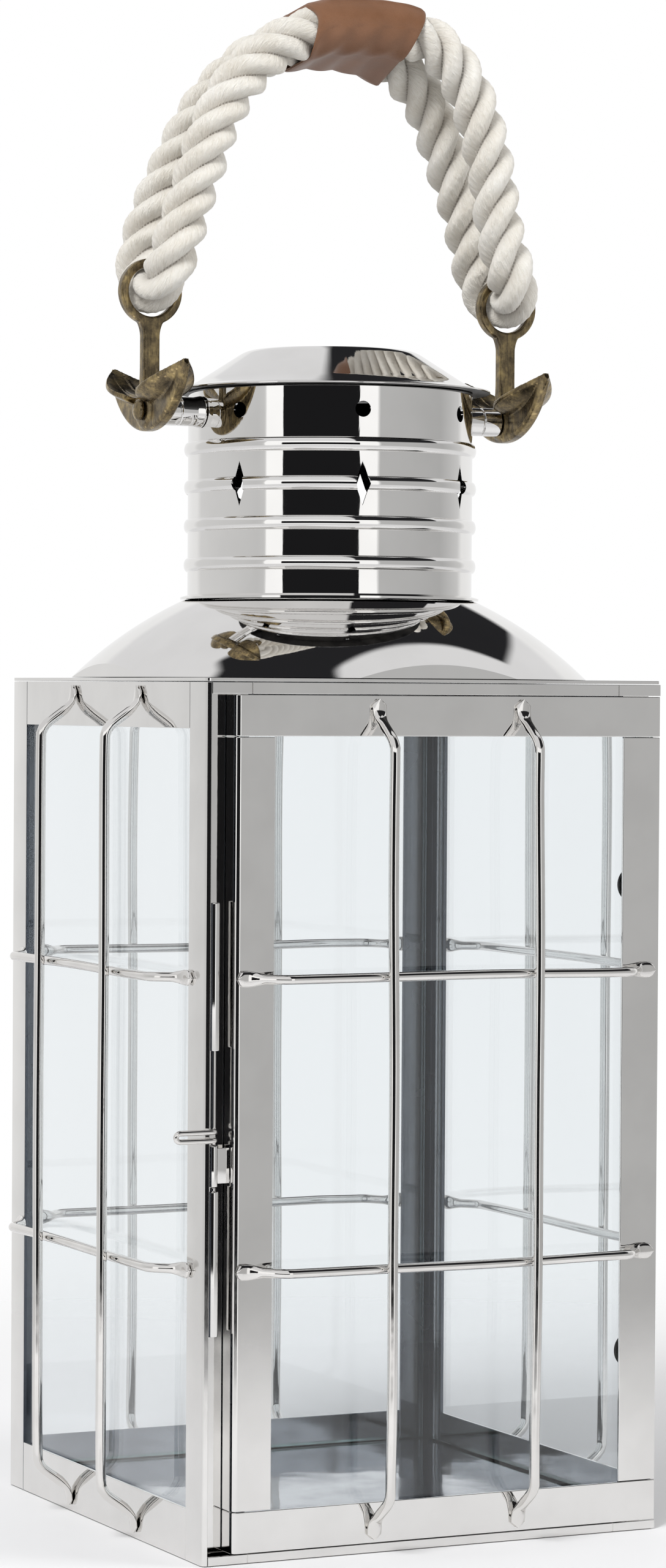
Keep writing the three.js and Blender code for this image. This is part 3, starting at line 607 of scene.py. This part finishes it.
def make_grip():
    """The leather sleeve: wrapped round both strands and lapped along the top, with a slanted right end."""
    low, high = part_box("leather_grip")
    leather, ease = 0.0016, 0.0007
    stations, around = 54, 120
    angles = around_once(around)
    out = np.column_stack((np.cos(angles), np.sin(angles)))
    drop = (1 - out[:, 1]) / 2

    def strand(side):
        """Height and depth of the front (-1) or rear (1) strand at an x inside the grip."""
        near = rope_curve[(np.sign(rope_curve[:, 1]) == side) & (rope_curve[:, 2] > 0.56)]
        near = near[np.argsort(near[:, 0])]
        return lambda x: np.column_stack([np.interp(x, near[:, 0], near[:, i]) for i in (1, 2)])

    front_at, rear_at = strand(-1), strand(1)

    def section(t, radius, lapped):
        """The ring at a share t of the grip's length; the outer skin has a lap along its top."""
        start = low.x + 0.0008 * np.sin(3 * angles)
        end = high.x - 0.0003 - 0.0090 * drop ** 1.2 - 0.0005 * (1 + np.sin(2 * angles + 1))
        x = start + (end - start) * t
        front, rear = front_at(x), rear_at(x)
        centre = np.where(out[:, :1] > 0, rear, front)
        belly = out[:, 1] < 0
        swell = 0.0004 * np.sin(x * 2 * math.pi / 0.0123 + 3 * angles) * (0.3 + 0.7 * belly)
        reach = radius + swell + 0.0012 * belly * -out[:, 1] * np.clip((x - 0.012) / 0.02, 0, 1)
        if lapped:
            turn = (angles - math.radians(76)) % (2 * math.pi)
            reach = reach + 0.0011 * np.clip(1 - turn / 1.2, 0, 1) * (turn > 0.02)
        return np.column_stack((x, centre + out * reach[:, None]))

    inner, outer = ROPE_D / 2 + ease, ROPE_D / 2 + ease + leather
    ts = np.linspace(0, 1, stations)
    rings = [section(t, outer - 0.0004 * (t in (0, 1)), True) for t in ts]
    rings += [section(t, inner + 0.0003 * (t in (0, 1)), False) for t in ts[::-1]]
    piece("leather_sleeve", loft("grip", rings, closed=True), [LEATHER], "leather_grip", sharp=50)


make_grip()

# ---- wire guards ----

FACE_TURN = {"rear": 0, "left": math.pi / 2, "right": -math.pi / 2, "front": math.pi}
FOOT = {"upright": (7 * MM, 11 * MM), "level": (8 * MM, 9 * MM)}  # flat foot, then slant
FOOT_AXIS = HALF + 0.0011  # a foot's middle, from the lantern's axis
FOOT_WIDE, FOOT_THICK = 0.0031, 0.00105  # half sizes of the hammered end


def eased_path(points, rounds=3):
    """Corners cut again and again, with the ends kept."""
    points = [np.array(p, float) for p in points]
    for _ in range(rounds):
        out = [points[0]]
        for a, b in zip(points, points[1:]):
            out += [a * 0.75 + b * 0.25, a * 0.25 + b * 0.75]
        points = [*out, points[-1]]
    return np.array(points)


def make_guard(node, face, kind):
    """A bent wire whose two ends are hammered flat on the frame."""
    back = Matrix.Rotation(-FACE_TURN[face], 3, "Z")
    corners = [back @ Vector(c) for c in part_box(node)]
    low = np.array([min(c[i] for c in corners) for i in range(3)])
    high = np.array([max(c[i] for c in corners) for i in range(3)])
    run, cross = (2, 0) if kind == "upright" else (0, 2)
    radius = (high[cross] - low[cross]) / 2 * 1.03
    stand = high[1] - radius
    foot, slant = FOOT[kind]
    bend = 2.5 * MM
    half = [(0, FOOT_AXIS), (foot - bend, FOOT_AXIS), (foot + bend / 2, FOOT_AXIS + bend / 2),
            (foot + slant - bend, stand - bend), (foot + slant, stand - bend / 3),
            (foot + slant + bend, stand)]
    span = high[run] - low[run]
    stations = half + [(span - s, o) for s, o in reversed(half)]
    path, length = resampled(eased_path([(s, o, 0) for s, o in stations]), 150)
    rng = random.Random(node)
    phases = [rng.uniform(0, 6.28) for _ in range(4)]
    angles = around_once(20)
    tangents = np.gradient(path, axis=0)
    tangents /= np.linalg.norm(tangents, axis=1)[:, None]
    rings = []
    for i, (s, out, _) in enumerate(path):
        end = min(i, len(path) - 1 - i) / (len(path) - 1) * length
        free = min(1, max(0, (end - 0.012) / 0.03))
        wander = (0.00035 * math.sin(s * 19 + phases[0]) + 0.00018 * math.sin(s * 47 + phases[1])) * free
        flat = 1 - min(1, max(0, (end - 0.0055) / 0.006))
        tip = math.sqrt(max(0.02, 1 - max(0, 1 - end / 0.0028) ** 2))
        wide = (radius * (1 - flat) + FOOT_WIDE * flat) * tip
        thick = radius * (1 - flat) + FOOT_THICK * flat
        place = np.zeros(3)
        place[run], place[cross], place[1] = low[run] + s, (low[cross] + high[cross]) / 2 + wander, out
        normal = np.zeros(3)
        normal[run], normal[1] = -tangents[i][1], tangents[i][0]
        side = np.zeros(3)
        side[cross] = 1
        rings.append(place + np.outer(np.cos(angles) * wide, side) + np.outer(np.sin(angles) * thick, normal))
    mesh = moved(loft(node, rings), Matrix.Rotation(FACE_TURN[face], 4, "Z"))
    piece("wire_" + node, mesh, [WIRE], node, sharp=60)


for node in sorted(frame["nodes"]):
    if node.startswith("guard_"):
        make_guard(node, node.split("_")[2], node.split("_")[1])

# ---- sheet metal and glass ----


def faces_inward(centre, normal):
    """True for a face of the case that looks at the candle."""
    flat = Vector((centre.x, centre.y, 0))
    return abs(normal.z) < 0.9 and normal.dot(flat.normalized()) < -0.35


def faces_in_or_up(centre, normal):
    """True for the inner faces of a bottom rail and for its up-facing lip inside the case; both take the
    tray's darker finish, painted shade.
    """
    return faces_inward(centre, normal) or (normal.z > 0.5 and max(abs(centre.x), abs(centre.y)) < 0.0985)


# The inner faces of the posts, the jamb and the top rails take the painted shade of the inside.
for node in ("post_front_left", "post_front_right", "post_rear_left", "post_rear_right", "jamb_left",
             "rail_top_rear", "rail_top_left", "rail_top_right"):
    refined(node, [SHEET, INNER_SHADE], inside=faces_inward)
# The bottom rails' inner faces and lip, and the whole tray, take the tray's painted shade.
for node in ("rail_bottom_rear", "rail_bottom_left", "rail_bottom_right"):
    refined(node, [SHEET, TRAY_SHADE], inside=faces_in_or_up)
refined("floor_tray", [TRAY_SHADE])
for node in ("header", "sill", "roof_plate"):
    refined(node, [SHEET], bevel=0.3 * MM)
door_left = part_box("door_rail_top")[0].x


def is_door_fold(middle):
    """True for the upright edge at the front left of the door."""
    return middle.x < door_left + 0.0001 and middle.y < -HALF + 0.0001


def faces_back(centre, normal):
    return normal.y > 0.9


# The door's back faces take the same painted shade of the inside.
for node in ("door_rail_top", "door_rail_bottom", "door_stile_left", "door_stile_right"):
    refined(node, [SHEET, INNER_SHADE], bevel=0.3 * MM, inside=faces_back, folded=is_door_fold)

for node in ("glass_left", "glass_right", "glass_rear", "door_glass"):
    low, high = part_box(node)
    thin = 1 if high.y - low.y < high.x - low.x else 0
    refined(node, [PANE, PANE_EDGE], bevel=0.4 * MM,
            inside=lambda centre, normal, thin=thin: abs(normal[thin]) < 0.98)

# ---- roof, chimney and cap ----

DOME_ARC = (-0.0103, 0.224, 0.1652)  # its centre's distance from the axis and height, and its radius
DOME_FOOT_R, DOME_NECK_R, DOME_BORE_R = 0.1058, 0.0602, 0.059
DOME_WALL = 1.2 * MM
LOOKS_DOWN = -0.3  # a normal below this belongs to the inside, which gets the painted shade
CHIMNEY_R, CHIMNEY_WALL, CHIMNEY_FLANGE = 0.0585, MM, 0.0614
BEADS = [0.3878, 0.4038, 0.4196, 0.4352]  # heights
BEAD_OUT, BEAD_HALF = 0.0016, 0.0028
VENTS = 7
VENT_R, VENT_Z = 0.0032, 0.4491
STAR = [(0, 0.009), (0.0031, 0), (0, -0.009), (-0.0031, 0)]


def dome_solid(offset, foot):
    """The filled dome, shrunk by an offset. Its section is one arc."""
    rc, zc, radius = DOME_ARC
    radius, wide = radius - offset, DOME_FOOT_R - offset
    angles = np.linspace(math.asin((wide - rc) / radius), math.asin((DOME_NECK_R - rc) / radius), 30)
    arc = [(rc + radius * math.sin(a), zc + radius * math.cos(a)) for a in angles]
    arc = [p for p in arc if p[1] > foot + 0.00005]
    return turned("dome", [(0, foot), (wide, foot), *arc, (0, arc[-1][1])], 160, closed=False)


def make_dome():
    """A thin shell of one arc, trimmed square to the case, and open to the chimney."""
    low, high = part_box("dome")
    outer = boolean(dome_solid(0, low.z), "INTERSECT", block((-HALF, -HALF, low.z - 1), (HALF, HALF, 1)))
    inner_half = HALF - DOME_WALL
    inner = boolean(dome_solid(DOME_WALL, low.z - MM), "INTERSECT",
                    block((-inner_half, -inner_half, low.z - 1), (inner_half, inner_half, 1)))
    shell = boolean(outer, "DIFFERENCE", inner)
    mesh = boolean(shell, "DIFFERENCE", rod(DOME_BORE_R, low.z, high.z + 0.05, 160))
    for face in mesh.polygons:
        face.material_index = int(face.normal.z < LOOKS_DOWN)
    piece("roof_dome", mesh, [SPUN, UNDERSIDE_SHADE], "dome", sharp=28)


def make_chimney():
    """A flanged tube with rolled beads, pierced by diamond vents on a bead and round ones above."""
    low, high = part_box("chimney")
    outer = [(CHIMNEY_FLANGE, low.z), (CHIMNEY_FLANGE, low.z + 0.0009), (CHIMNEY_R, low.z + 0.0018)]
    for z in BEADS:
        for a in np.linspace(-1, 1, 13) * math.pi / 2:
            outer.append((CHIMNEY_R + BEAD_OUT * math.cos(a), z + BEAD_HALF * math.sin(a)))
    outer += [(CHIMNEY_R, high.z)]
    bore = CHIMNEY_R - CHIMNEY_WALL
    inner = [(bore, high.z)]
    for z in reversed(BEADS):
        for a in np.linspace(1, -1, 7) * math.pi / 2:
            inner.append((bore + BEAD_OUT * math.cos(a), z + (BEAD_HALF - 0.0004) * math.sin(a)))
    inner += [(bore, low.z)]
    shell = turned("chimney", outer + inner, 196)
    cutters = []
    circle = [(VENT_R * math.cos(a), VENT_R * math.sin(a)) for a in around_once(40)]
    for i in range(VENTS):
        turn = Matrix.Rotation(2 * math.pi * i / VENTS, 4, "Z")
        for outline, z in ((STAR, BEADS[2]), (circle, VENT_Z)):
            if outline is circle and i == 0:
                continue  # the handle's lug is there
            rings = [[(x, a, z + b) for a, b in outline] for x in (CHIMNEY_R - 0.006, CHIMNEY_R + 0.006)]
            cutters.append(moved(loft("cutter", rings), turn))
    mesh = boolean(shell, "DIFFERENCE", joined("cutters", *cutters))
    # Faces that look into the tube get the painted shade.
    for face in mesh.polygons:
        outward = face.normal.x * face.center.x + face.normal.y * face.center.y
        face.material_index = int(outward < -0.02)
    piece("chimney_wall", mesh, [SPUN, UNDERSIDE_SHADE], "chimney", sharp=42)


def make_cap():
    """A spun cap: a flat crown, a cone and a thin rim, with its inside following."""
    low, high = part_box("chimney_cap")
    rim, crown = low.z, high.z - 0.0005
    profile = [(0, crown - 0.0003), (0.024, crown), (0.0335, crown - 0.0003), (0.0365, crown - 0.0014)]
    profile += [(0.0555, rim + 0.0038), (0.060, rim + 0.0018), (0.0657, rim + 0.0009), (0.0657, rim)]
    profile += [(0.057, rim + 0.0004), (0.0534, rim + 0.0034), (0.0354, rim + 0.0152)]
    profile += [(0.032, rim + 0.0163), (0, rim + 0.016)]
    mesh = turned("cap", rounded(profile, 0.0016, closed=False, steps=5), 160, closed=False)
    for face in mesh.polygons:
        face.material_index = int(face.normal.z < LOOKS_DOWN)
    piece("cap", mesh, [SPUN, UNDERSIDE_SHADE], "chimney_cap", sharp=50)


make_dome()
make_chimney()
make_cap()

# ---- handle pivots and anchors ----

PIVOT_Z = 0.4493
LUG_R, LUG_END, LUG_BORE, LUG_BORE_DEPTH = 0.00585, 0.0771, 0.0028, 0.012
SCREW_R, SCREW_HEAD_R, SCREW_END, SCREW_SEAT, SCREW_TOP = 0.0024, 0.0043, 0.066, 0.0853, 0.0881
ANCHOR_BORE, CAST_GRAIN = 0.0029, 0.00034


def make_lug(sign):
    """A tube on the chimney, with a groove round its middle, a wider foot and a bore for the screw."""
    node = "handle_lug_right" if sign > 0 else "handle_lug_left"
    inside, bottom = LUG_END - LUG_BORE_DEPTH, 0.05
    groove, foot = LUG_R - 0.0003, LUG_R + 0.0006
    profile = [(LUG_BORE, inside), (LUG_BORE, LUG_END), (LUG_R, LUG_END), (LUG_R, 0.0695), (groove, 0.0692),
               (groove, 0.0689), (LUG_R, 0.0686), (LUG_R, 0.062), (foot, 0.0592), (foot, bottom),
               (0, bottom), (0, inside)]
    mesh = moved(turned("lug", rounded(profile, 0.0003), 64), along_x(0, 0, PIVOT_Z, sign))
    wall = rod(CHIMNEY_R + 0.0003, 0.4, 0.5, 196)
    piece("lug_" + node[11:], boolean(mesh, "DIFFERENCE", wall), [SPUN], node)


def make_pivot(sign):
    """A plain shank under a domed head."""
    node = "pivot_screw_right" if sign > 0 else "pivot_screw_left"
    edge = SCREW_SEAT + 0.0006
    dome = [(SCREW_HEAD_R * math.cos(a), edge + (SCREW_TOP - SCREW_SEAT - 0.0006) * math.sin(a))
            for a in np.linspace(0, 1.5, 14)]
    profile = [(0, SCREW_END), (SCREW_R, SCREW_END), (SCREW_R, SCREW_SEAT),
               (SCREW_HEAD_R - 0.0002, SCREW_SEAT), *dome, (0, SCREW_TOP)]
    mesh = moved(turned("pivot", profile, 48, closed=False), along_x(0, 0, PIVOT_Z, sign))
    piece("rivet_" + node[12:], mesh, [BRASS], node, sharp=40)


def anchor_palm(side):
    """A scooped leaf with a rib down its back, from the crown to the tip of an arm."""
    rows, across = 26, 22
    start, reach = 0.0065, 0.0300
    top, under = [], []
    for i in range(rows):
        u = i / (rows - 1)
        y = start + reach * u
        z = 0.0035 + 0.0025 * u + 0.0115 * u * u
        wide = 0.0112 * math.sin(math.pi * min(1, (0.16 + 0.84 * u)) ** 0.72) ** 0.75
        wide = max(wide, 0.0012)
        for k, line in ((1, top), (-1, under)):
            row = []
            for j in range(across + 1):
                v = 2 * j / across - 1
                lift = 0.0034 * v * v * math.sin(math.pi * min(1, 0.25 + 0.7 * u))
                body = (0.0015 - 0.0006 * abs(v)) * k - (0.0012 * max(0, 1 - abs(v) * 5) if k < 0 else 0)
                row.append((wide * v, side * (y - body * 0.5), z + lift + body))
            line.append(row)
    rings = [a + b[::-1] for a, b in zip(top, under)]
    return loft("palm", rings)


def anchor_plate(outline, thick, bevel):
    """A flat plate on an outline of [Y, Z] points, centred on X = 0, with eased edges."""
    levels = [(-thick / 2, bevel), (-thick / 2 + bevel, 0), (thick / 2 - bevel, 0), (thick / 2, bevel)]
    points = np.array(outline)
    edge = np.roll(points, -1, axis=0) - np.roll(points, 1, axis=0)
    edge /= np.linalg.norm(edge, axis=1)[:, None]
    inward = np.column_stack((-edge[:, 1], edge[:, 0]))
    rings = [[(x, *(p + n * shrink)) for p, n in zip(points, inward)] for x, shrink in levels]
    return loft("plate", rings)


def outlined(left, right, half, ease):
    """A rectangle from left to right and half up and down, with eased corners."""
    return rounded([(left, -half), (right, -half), (right, half), (left, half)], ease)


def make_anchor(sign):
    """One casting: an eye for the rope, a shank, curved arms with palms, and a boss on the pivot."""
    node = "anchor_right" if sign > 0 else "anchor_left"
    low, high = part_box(node)
    middle = (low.x + high.x) / 2
    ring_z, ring_in, ring_out, thick = 0.497 - PIVOT_Z, 0.0100, 0.0134, 0.0048
    upright = Matrix.Translation((0, 0, ring_z)) @ Matrix.Rotation(math.pi / 2, 4, "X")
    eye = moved(turned("eye", outlined(ring_in, ring_out, thick / 2, 0.0009), 96), upright)
    heights = np.linspace(-0.001, ring_z - ring_in - 0.001, 24)
    rings = []
    for z in heights:
        flare = 0.0022 * max(0, 1 - (heights[-1] - z) / 0.007) ** 2
        half = 0.0036 + 0.0006 * max(0, 1 - z / 0.016) + flare
        rings.append([(x, y, z) for x, y in outlined(-half, half, thick / 2, 0.0007)])
    shank = loft("shank", rings)
    boss_r, boss_half = 0.0071, 0.0035
    boss = [(0, -boss_half), (boss_r, -boss_half), (boss_r, boss_half), (0, boss_half)]
    boss = moved(turned("boss", rounded(boss, 0.0009, closed=False), 48, closed=False), along_x())
    reach, rise, crown = 0.0360, 0.0170, 0.0085
    arm_thick = 0.0052
    radius_for = lambda height: (reach ** 2 + height ** 2) / (2 * height)
    arc = lambda radius, foot: [(radius * math.sin(a), foot + radius * (1 - math.cos(a)))
                                for a in np.linspace(-1, 1, 33) * math.asin(reach / radius)]
    outer, inner = arc(radius_for(rise + crown), -crown), arc(radius_for(rise - 0.0052), 0.0056)
    arms = anchor_plate(outer + inner[::-1][1:-1], arm_thick, 0.0009)
    casting = joined("casting", eye, shank, boss, arms, anchor_palm(1), anchor_palm(-1))
    obj = placed("work", casting)
    remesh = obj.modifiers.new("remesh", "REMESH")
    remesh.mode = "VOXEL"
    remesh.voxel_size = CAST_GRAIN
    smooth = obj.modifiers.new("smooth", "SMOOTH")
    smooth.factor = 0.5
    smooth.iterations = 8
    mesh = bpy.data.meshes.new_from_object(obj.evaluated_get(bpy.context.evaluated_depsgraph_get()))
    bpy.data.objects.remove(obj)
    mesh = boolean(mesh, "DIFFERENCE", moved(rod(ANCHOR_BORE, -0.01, 0.01, 40), along_x()))
    moved(mesh, Matrix.Translation((middle, 0, PIVOT_Z)))
    piece("hanger_" + node[7:], mesh, [BRASS], node, sharp=60)


for sign in (-1, 1):
    make_lug(sign)
    make_pivot(sign)
    make_anchor(sign)

# ---- latch, hinges and buttons ----

LATCH = (-0.0952, -0.0974)  # where the latch's axis stands
PIN_R = 0.0011
BARREL_R, BARREL_EASE = 0.0023, 0.0003
SEAM_DEPTH, SEAM_HALF, SEAM_TURN = 0.00025, 0.00012, math.radians(-40)
HINGE = (0.10205, -0.0905)  # where the hinges' axis stands
LEAF = 0.8 * MM
KNUCKLE_R, HINGE_PIN_R, HINGE_BORE_R, RIVET_R = 0.0019, 0.0009, 0.00125, 0.0012
KNUCKLE_GAP = 0.0003


def make_barrel(node, hole=0.0, neck=0.0):
    """A rolled tube with a web to the jamb. Without a hole it is filled by a pin that ends in a neck."""
    low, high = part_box(node)
    top = high.z - neck
    if hole:
        profile = [(hole, low.z), (BARREL_R, low.z), (BARREL_R, top), (hole, top)]
        mesh = turned("barrel", rounded(profile, BARREL_EASE), 48)
    else:
        profile = [(0, low.z), (BARREL_R, low.z), (BARREL_R, top), (PIN_R, top), (PIN_R, high.z), (0, high.z)]
        mesh = turned("barrel", rounded(profile, BARREL_EASE, closed=False), 48, closed=False)
    # The rolled sheet meets in a narrow seam that faces the corner of the door.
    seam = block((BARREL_R - SEAM_DEPTH, -SEAM_HALF, low.z - MM), (BARREL_R + MM, SEAM_HALF, high.z + MM))
    mesh = boolean(mesh, "DIFFERENCE", moved(seam, Matrix.Rotation(SEAM_TURN, 4, "Z")))
    web = block((-0.0030, -0.0007, low.z + 0.003), (-BARREL_R + 0.0003, 0.0009, high.z - 0.003), 0.0002)
    mesh = boolean(mesh, "UNION", web)
    piece("tube_" + node, moved(mesh, Matrix.Translation((*LATCH, 0))), [SHEET], node, sharp=35)


def make_keeper():
    """The door's short tube, with the tab that ties it to the stile."""
    low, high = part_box("latch_keeper")
    profile = [(0.0014, low.z), (0.00185, low.z), (0.00185, high.z), (0.0014, high.z)]
    tube = turned("keeper", rounded(profile, 0.0002), 40)
    tab = block((0.0008, 0.0008, low.z + 0.001), (high.x - LATCH[0], 0.0016, high.z - 0.001), 0.0002)
    mesh = boolean(tube, "UNION", tab)
    piece("keeper", moved(mesh, Matrix.Translation((*LATCH, 0))), [SHEET], "latch_keeper", sharp=35)


def make_latch_pin():
    """A bent wire: up into the upper barrel, out round the thumb loop, and down to the keeper."""
    low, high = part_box("latch_pin")
    x, y = LATCH
    tip_x, tip_y = -0.1127, -0.1017
    loop_low, loop_high = 0.1639, 0.1672
    half, mid = (loop_high - loop_low) / 2, (loop_high + loop_low) / 2
    leg = lambda z: [(x, y, z), (x, tip_y + 0.0022, z), (x - 0.0015, tip_y + 0.0006, z),
                     (x - 0.004, tip_y, z)]
    upper = [(x, y, high.z), (x, y, loop_high + 0.0025)] + leg(loop_high)
    bend = [(tip_x + half + half * math.cos(a), tip_y, mid + half * math.sin(a))
            for a in np.linspace(math.pi / 2, 3 * math.pi / 2, 9)]
    lower = leg(loop_low)[::-1] + [(x, y, low.z)]
    path, _ = resampled(eased_path(upper + bend + lower, 3), 190)
    normals, across = carried_frames(path)
    angles = around_once(20)
    sizes = np.full(len(path), PIN_R)
    sizes[[0, -1]] *= 0.7
    rings = [point + size * (np.outer(np.cos(angles), normal) + np.outer(np.sin(angles), side))
             for point, size, normal, side in zip(path, sizes, normals, across)]
    piece("thumb_pin", loft("pin", rings), [WIRE], "latch_pin", sharp=60)


def make_hinge(node, z_from, z_to):
    """A leaf with a web and its share of the knuckle, pinned through if it is the fixed half."""
    low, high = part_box(node)
    fixed = node.startswith("frame")
    face = 0.1003 if fixed else 0.1000
    to_axis = Matrix.Translation((*HINGE, 0))
    knuckle = [(0, z_from), (KNUCKLE_R, z_from), (KNUCKLE_R, z_to), (0, z_to)]
    knuckle = moved(turned("knuckle", rounded(knuckle, 0.0002, closed=False), 40, closed=False), to_axis)
    ahead = (HINGE[1] + 0.0022, high.y) if fixed else (low.y, HINGE[1] - 0.0022)
    leaf = block((face, ahead[0], low.z), (face + LEAF, ahead[1], high.z), 0.0002)
    web_y = (HINGE[1], HINGE[1] + 0.0024) if fixed else (HINGE[1] - 0.0024, HINGE[1])
    web = block((face, web_y[0], z_from), (face + LEAF, web_y[1], z_to))
    mesh = boolean(boolean(leaf, "UNION", web), "UNION", knuckle)
    if fixed:
        mesh = boolean(mesh, "UNION", moved(rod(HINGE_PIN_R, z_from + MM, high.z - MM, 24), to_axis))
    else:
        mesh = boolean(mesh, "DIFFERENCE", moved(rod(HINGE_BORE_R, z_from - MM, z_to + MM, 24), to_axis))
    dome = [(RIVET_R * math.cos(a), face + LEAF + 0.0005 * math.sin(a)) for a in np.linspace(0, 1.5, 7)]
    rivet = [(0, face + LEAF / 2), (RIVET_R, face + LEAF / 2), *dome, (0, face + 0.0013)]
    rivet_y = sum(ahead) / 2 + (0.001 if fixed else -0.0003)
    for z in (low.z + 0.006, high.z - 0.006):
        head = moved(turned("rivet", rivet, 24, closed=False), along_x(0, rivet_y, z))
        mesh = boolean(mesh, "UNION", head)
    piece("leaf_" + node, mesh, [SHEET], node, sharp=35)


def make_button(node):
    """A rubber pad with a soft crown, behind the door's glass."""
    low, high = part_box(node)
    radius, depth = (high.x - low.x) / 2, high.y - low.y
    dome = [(radius * (1 - 0.16 * s), depth * (0.4 + 0.42 * s)) for s in np.linspace(0, 1, 5)]
    profile = [(0, 0), (radius, 0), *dome, (radius * 0.6, depth * 0.96), (0, depth)]
    pad = turned("pad", rounded(profile, 0.0005, closed=False), 56, closed=False)
    place = Matrix.Translation(((low.x + high.x) / 2, low.y, (low.z + high.z) / 2))
    moved(pad, place @ Matrix.Rotation(-math.pi / 2, 4, "X"))
    piece("pad_" + node, pad, [RUBBER], node, sharp=50)


make_barrel("latch_barrel_upper", hole=0.0015)
make_barrel("latch_barrel_lower", neck=0.0016)
make_keeper()
make_latch_pin()
for level in ("lower", "upper"):
    low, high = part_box("door_hinge_" + level)
    middle = (low.z + high.z) / 2
    make_hinge("door_hinge_" + level, middle + KNUCKLE_GAP / 2, high.z)
    make_hinge("frame_hinge_" + level, low.z, middle - KNUCKLE_GAP / 2)
    make_button("glass_button_" + level)

# ---- studio ----


def make_world():
    """Soft white studio: a dark gap behind the camera between two bright strips, greys to the sides."""
    world = bpy.data.worlds.new("studio")
    bpy.context.scene.world = world
    world.use_nodes = True
    world.node_tree.nodes.clear()
    nodes = Nodes(world.node_tree)
    where = nodes.add("ShaderNodeTexCoord").outputs["Generated"]
    about_view = nodes.add(
        "ShaderNodeVectorRotate", rotation_type="Z_AXIS", Angle=-VIEW_AZIMUTH, Vector=where)
    x, y, z = nodes.add("ShaderNodeSeparateXYZ", Vector=about_view.outputs["Vector"]).outputs
    round_about = nodes.math("ARCTAN2", x, nodes.times(y, -1))
    share = nodes.times(round_about, 1 / (2 * math.pi), 0.5)
    at = lambda degrees: 0.5 + degrees / 360
    walls = nodes.ramp(
        share, (at(-180), 0.92), (at(-136), 0.90), (at(-128), 0.74), (at(-60), 0.62), (at(-53.5), 0.66),
        (at(-53), 1.15), (at(38.5), 1.15), (at(40), 0.54), (at(100), 0.48), (at(126), 0.66), (at(134), 0.92),
        (at(180), 0.92))
    falls = lambda value, low, high: nodes.without(nodes.smooth(value, low, high))
    card = nodes.times(nodes.smooth(round_about, math.radians(-38.4), math.radians(-37.8)),
                      falls(round_about, math.radians(23.2), math.radians(23.8)))
    card = nodes.times(card, nodes.smooth(z, -0.16, -0.14))
    card = nodes.times(card, falls(z, 0.17, 0.2))
    walls = nodes.blend(card, walls, (0.012, 0.012, 0.013))
    height = nodes.math("MAXIMUM", z, 0.05)
    over_x, over_y = nodes.math("DIVIDE", x, height), nodes.math("DIVIDE", y, height)
    roof = nodes.smooth(z, 0.36, 0.44)

    def patch(left, right, near, far, soft=0.03):
        """1 inside a rectangle of the ceiling, in units of its height; near is towards the camera."""
        across = nodes.times(nodes.smooth(over_x, left - soft, left + soft),
                            falls(over_x, right - soft, right + soft))
        deep = nodes.times(nodes.smooth(over_y, near - soft, near + soft),
                          falls(over_y, far - soft, far + soft))
        return nodes.times(across, deep)

    beside = nodes.smooth(nodes.times(over_y, 0.36, over_x), 0.02, 0.08)
    front = nodes.times(patch(-0.5, 3.0, -3, 0.36), beside)
    middle = patch(-0.42, 0.1, -0.12, 0.36)
    slant = nodes.smooth(nodes.times(over_x, -1.2, over_y), 0.03, 0.09)
    lamp = nodes.times(patch(0.03, 0.56, 0.0, 0.8), nodes.without(slant))
    near_side = nodes.times(nodes.math("MAXIMUM", front, middle), nodes.without(lamp))
    far_side = nodes.times(patch(-0.02, 0.68, 0.0, 2.4), slant)
    gap = nodes.math("MAXIMUM", near_side, far_side)
    ceiling = nodes.blend(gap, (0.80, 0.80, 0.81), (0.02, 0.02, 0.022))
    above = nodes.blend(roof, walls, ceiling)
    floor_glow = nodes.smooth(z, -0.16, -0.30)
    below = nodes.blend(floor_glow, above, (0.80, 0.80, 0.81))
    seen = nodes.add("ShaderNodeLightPath")
    direct = nodes.math("MAXIMUM", seen.outputs["Is Camera Ray"], seen.outputs["Is Transmission Ray"])
    colour = nodes.blend(direct, below, (1.0, 1.0, 1.0))
    glow = nodes.add("ShaderNodeBackground", Strength=1.0, Color=colour)
    nodes.add("ShaderNodeOutputWorld", Surface=glow.outputs[0])


def make_floor():
    """A pale disc that fades out into the studio."""
    work = bmesh.new()
    bmesh.ops.create_circle(work, cap_ends=True, radius=1.1, segments=96)
    mesh = bpy.data.meshes.new("floor")
    work.to_mesh(mesh)
    work.free()
    material, nodes, where = new_material(
        "pale_floor", Base_Color=(0.88, 0.88, 0.885, 1), Roughness=0.6, Specular_IOR_Level=0.2)
    shader = nodes.tree.nodes["Principled BSDF"]
    far = nodes.add("ShaderNodeVectorMath", operation="LENGTH", Vector=where)
    clear = nodes.add("ShaderNodeBsdfTransparent")
    mix = nodes.add("ShaderNodeMixShader")
    parts = (nodes.smooth(far.outputs["Value"], 0.16, 0.9), shader.outputs[0], clear.outputs[0])
    for socket, value in zip(mix.inputs, parts):
        nodes.feed(socket, value)
    nodes.feed(nodes.tree.nodes["Material Output"].inputs["Surface"], mix.outputs[0])
    mesh.materials.append(material)
    floor = placed("floor", mesh)
    floor.location.z = -0.0004


def make_light(name, place, target, size, power):
    """A soft round light that lights the pieces and isn't itself mirrored or seen."""
    data = bpy.data.lights.new(name, "AREA")
    data.shape = "DISK"
    data.size = size
    data.energy = power
    light = placed(name, data)
    light.location = place
    light.rotation_euler = (Vector(target) - Vector(place)).to_track_quat("-Z", "Y").to_euler()
    light.visible_glossy = False
    light.visible_transmission = False
    light.visible_camera = False


make_world()
make_floor()
make_light("key", (-1.6, -1.2, 2.2), (0, 0, 0.4), 1.0, 52)
make_light("fill", (1.8, -1.4, 1.2), (0, 0, 0.4), 1.4, 28)
bpy.context.scene.view_settings.view_transform = "Standard"
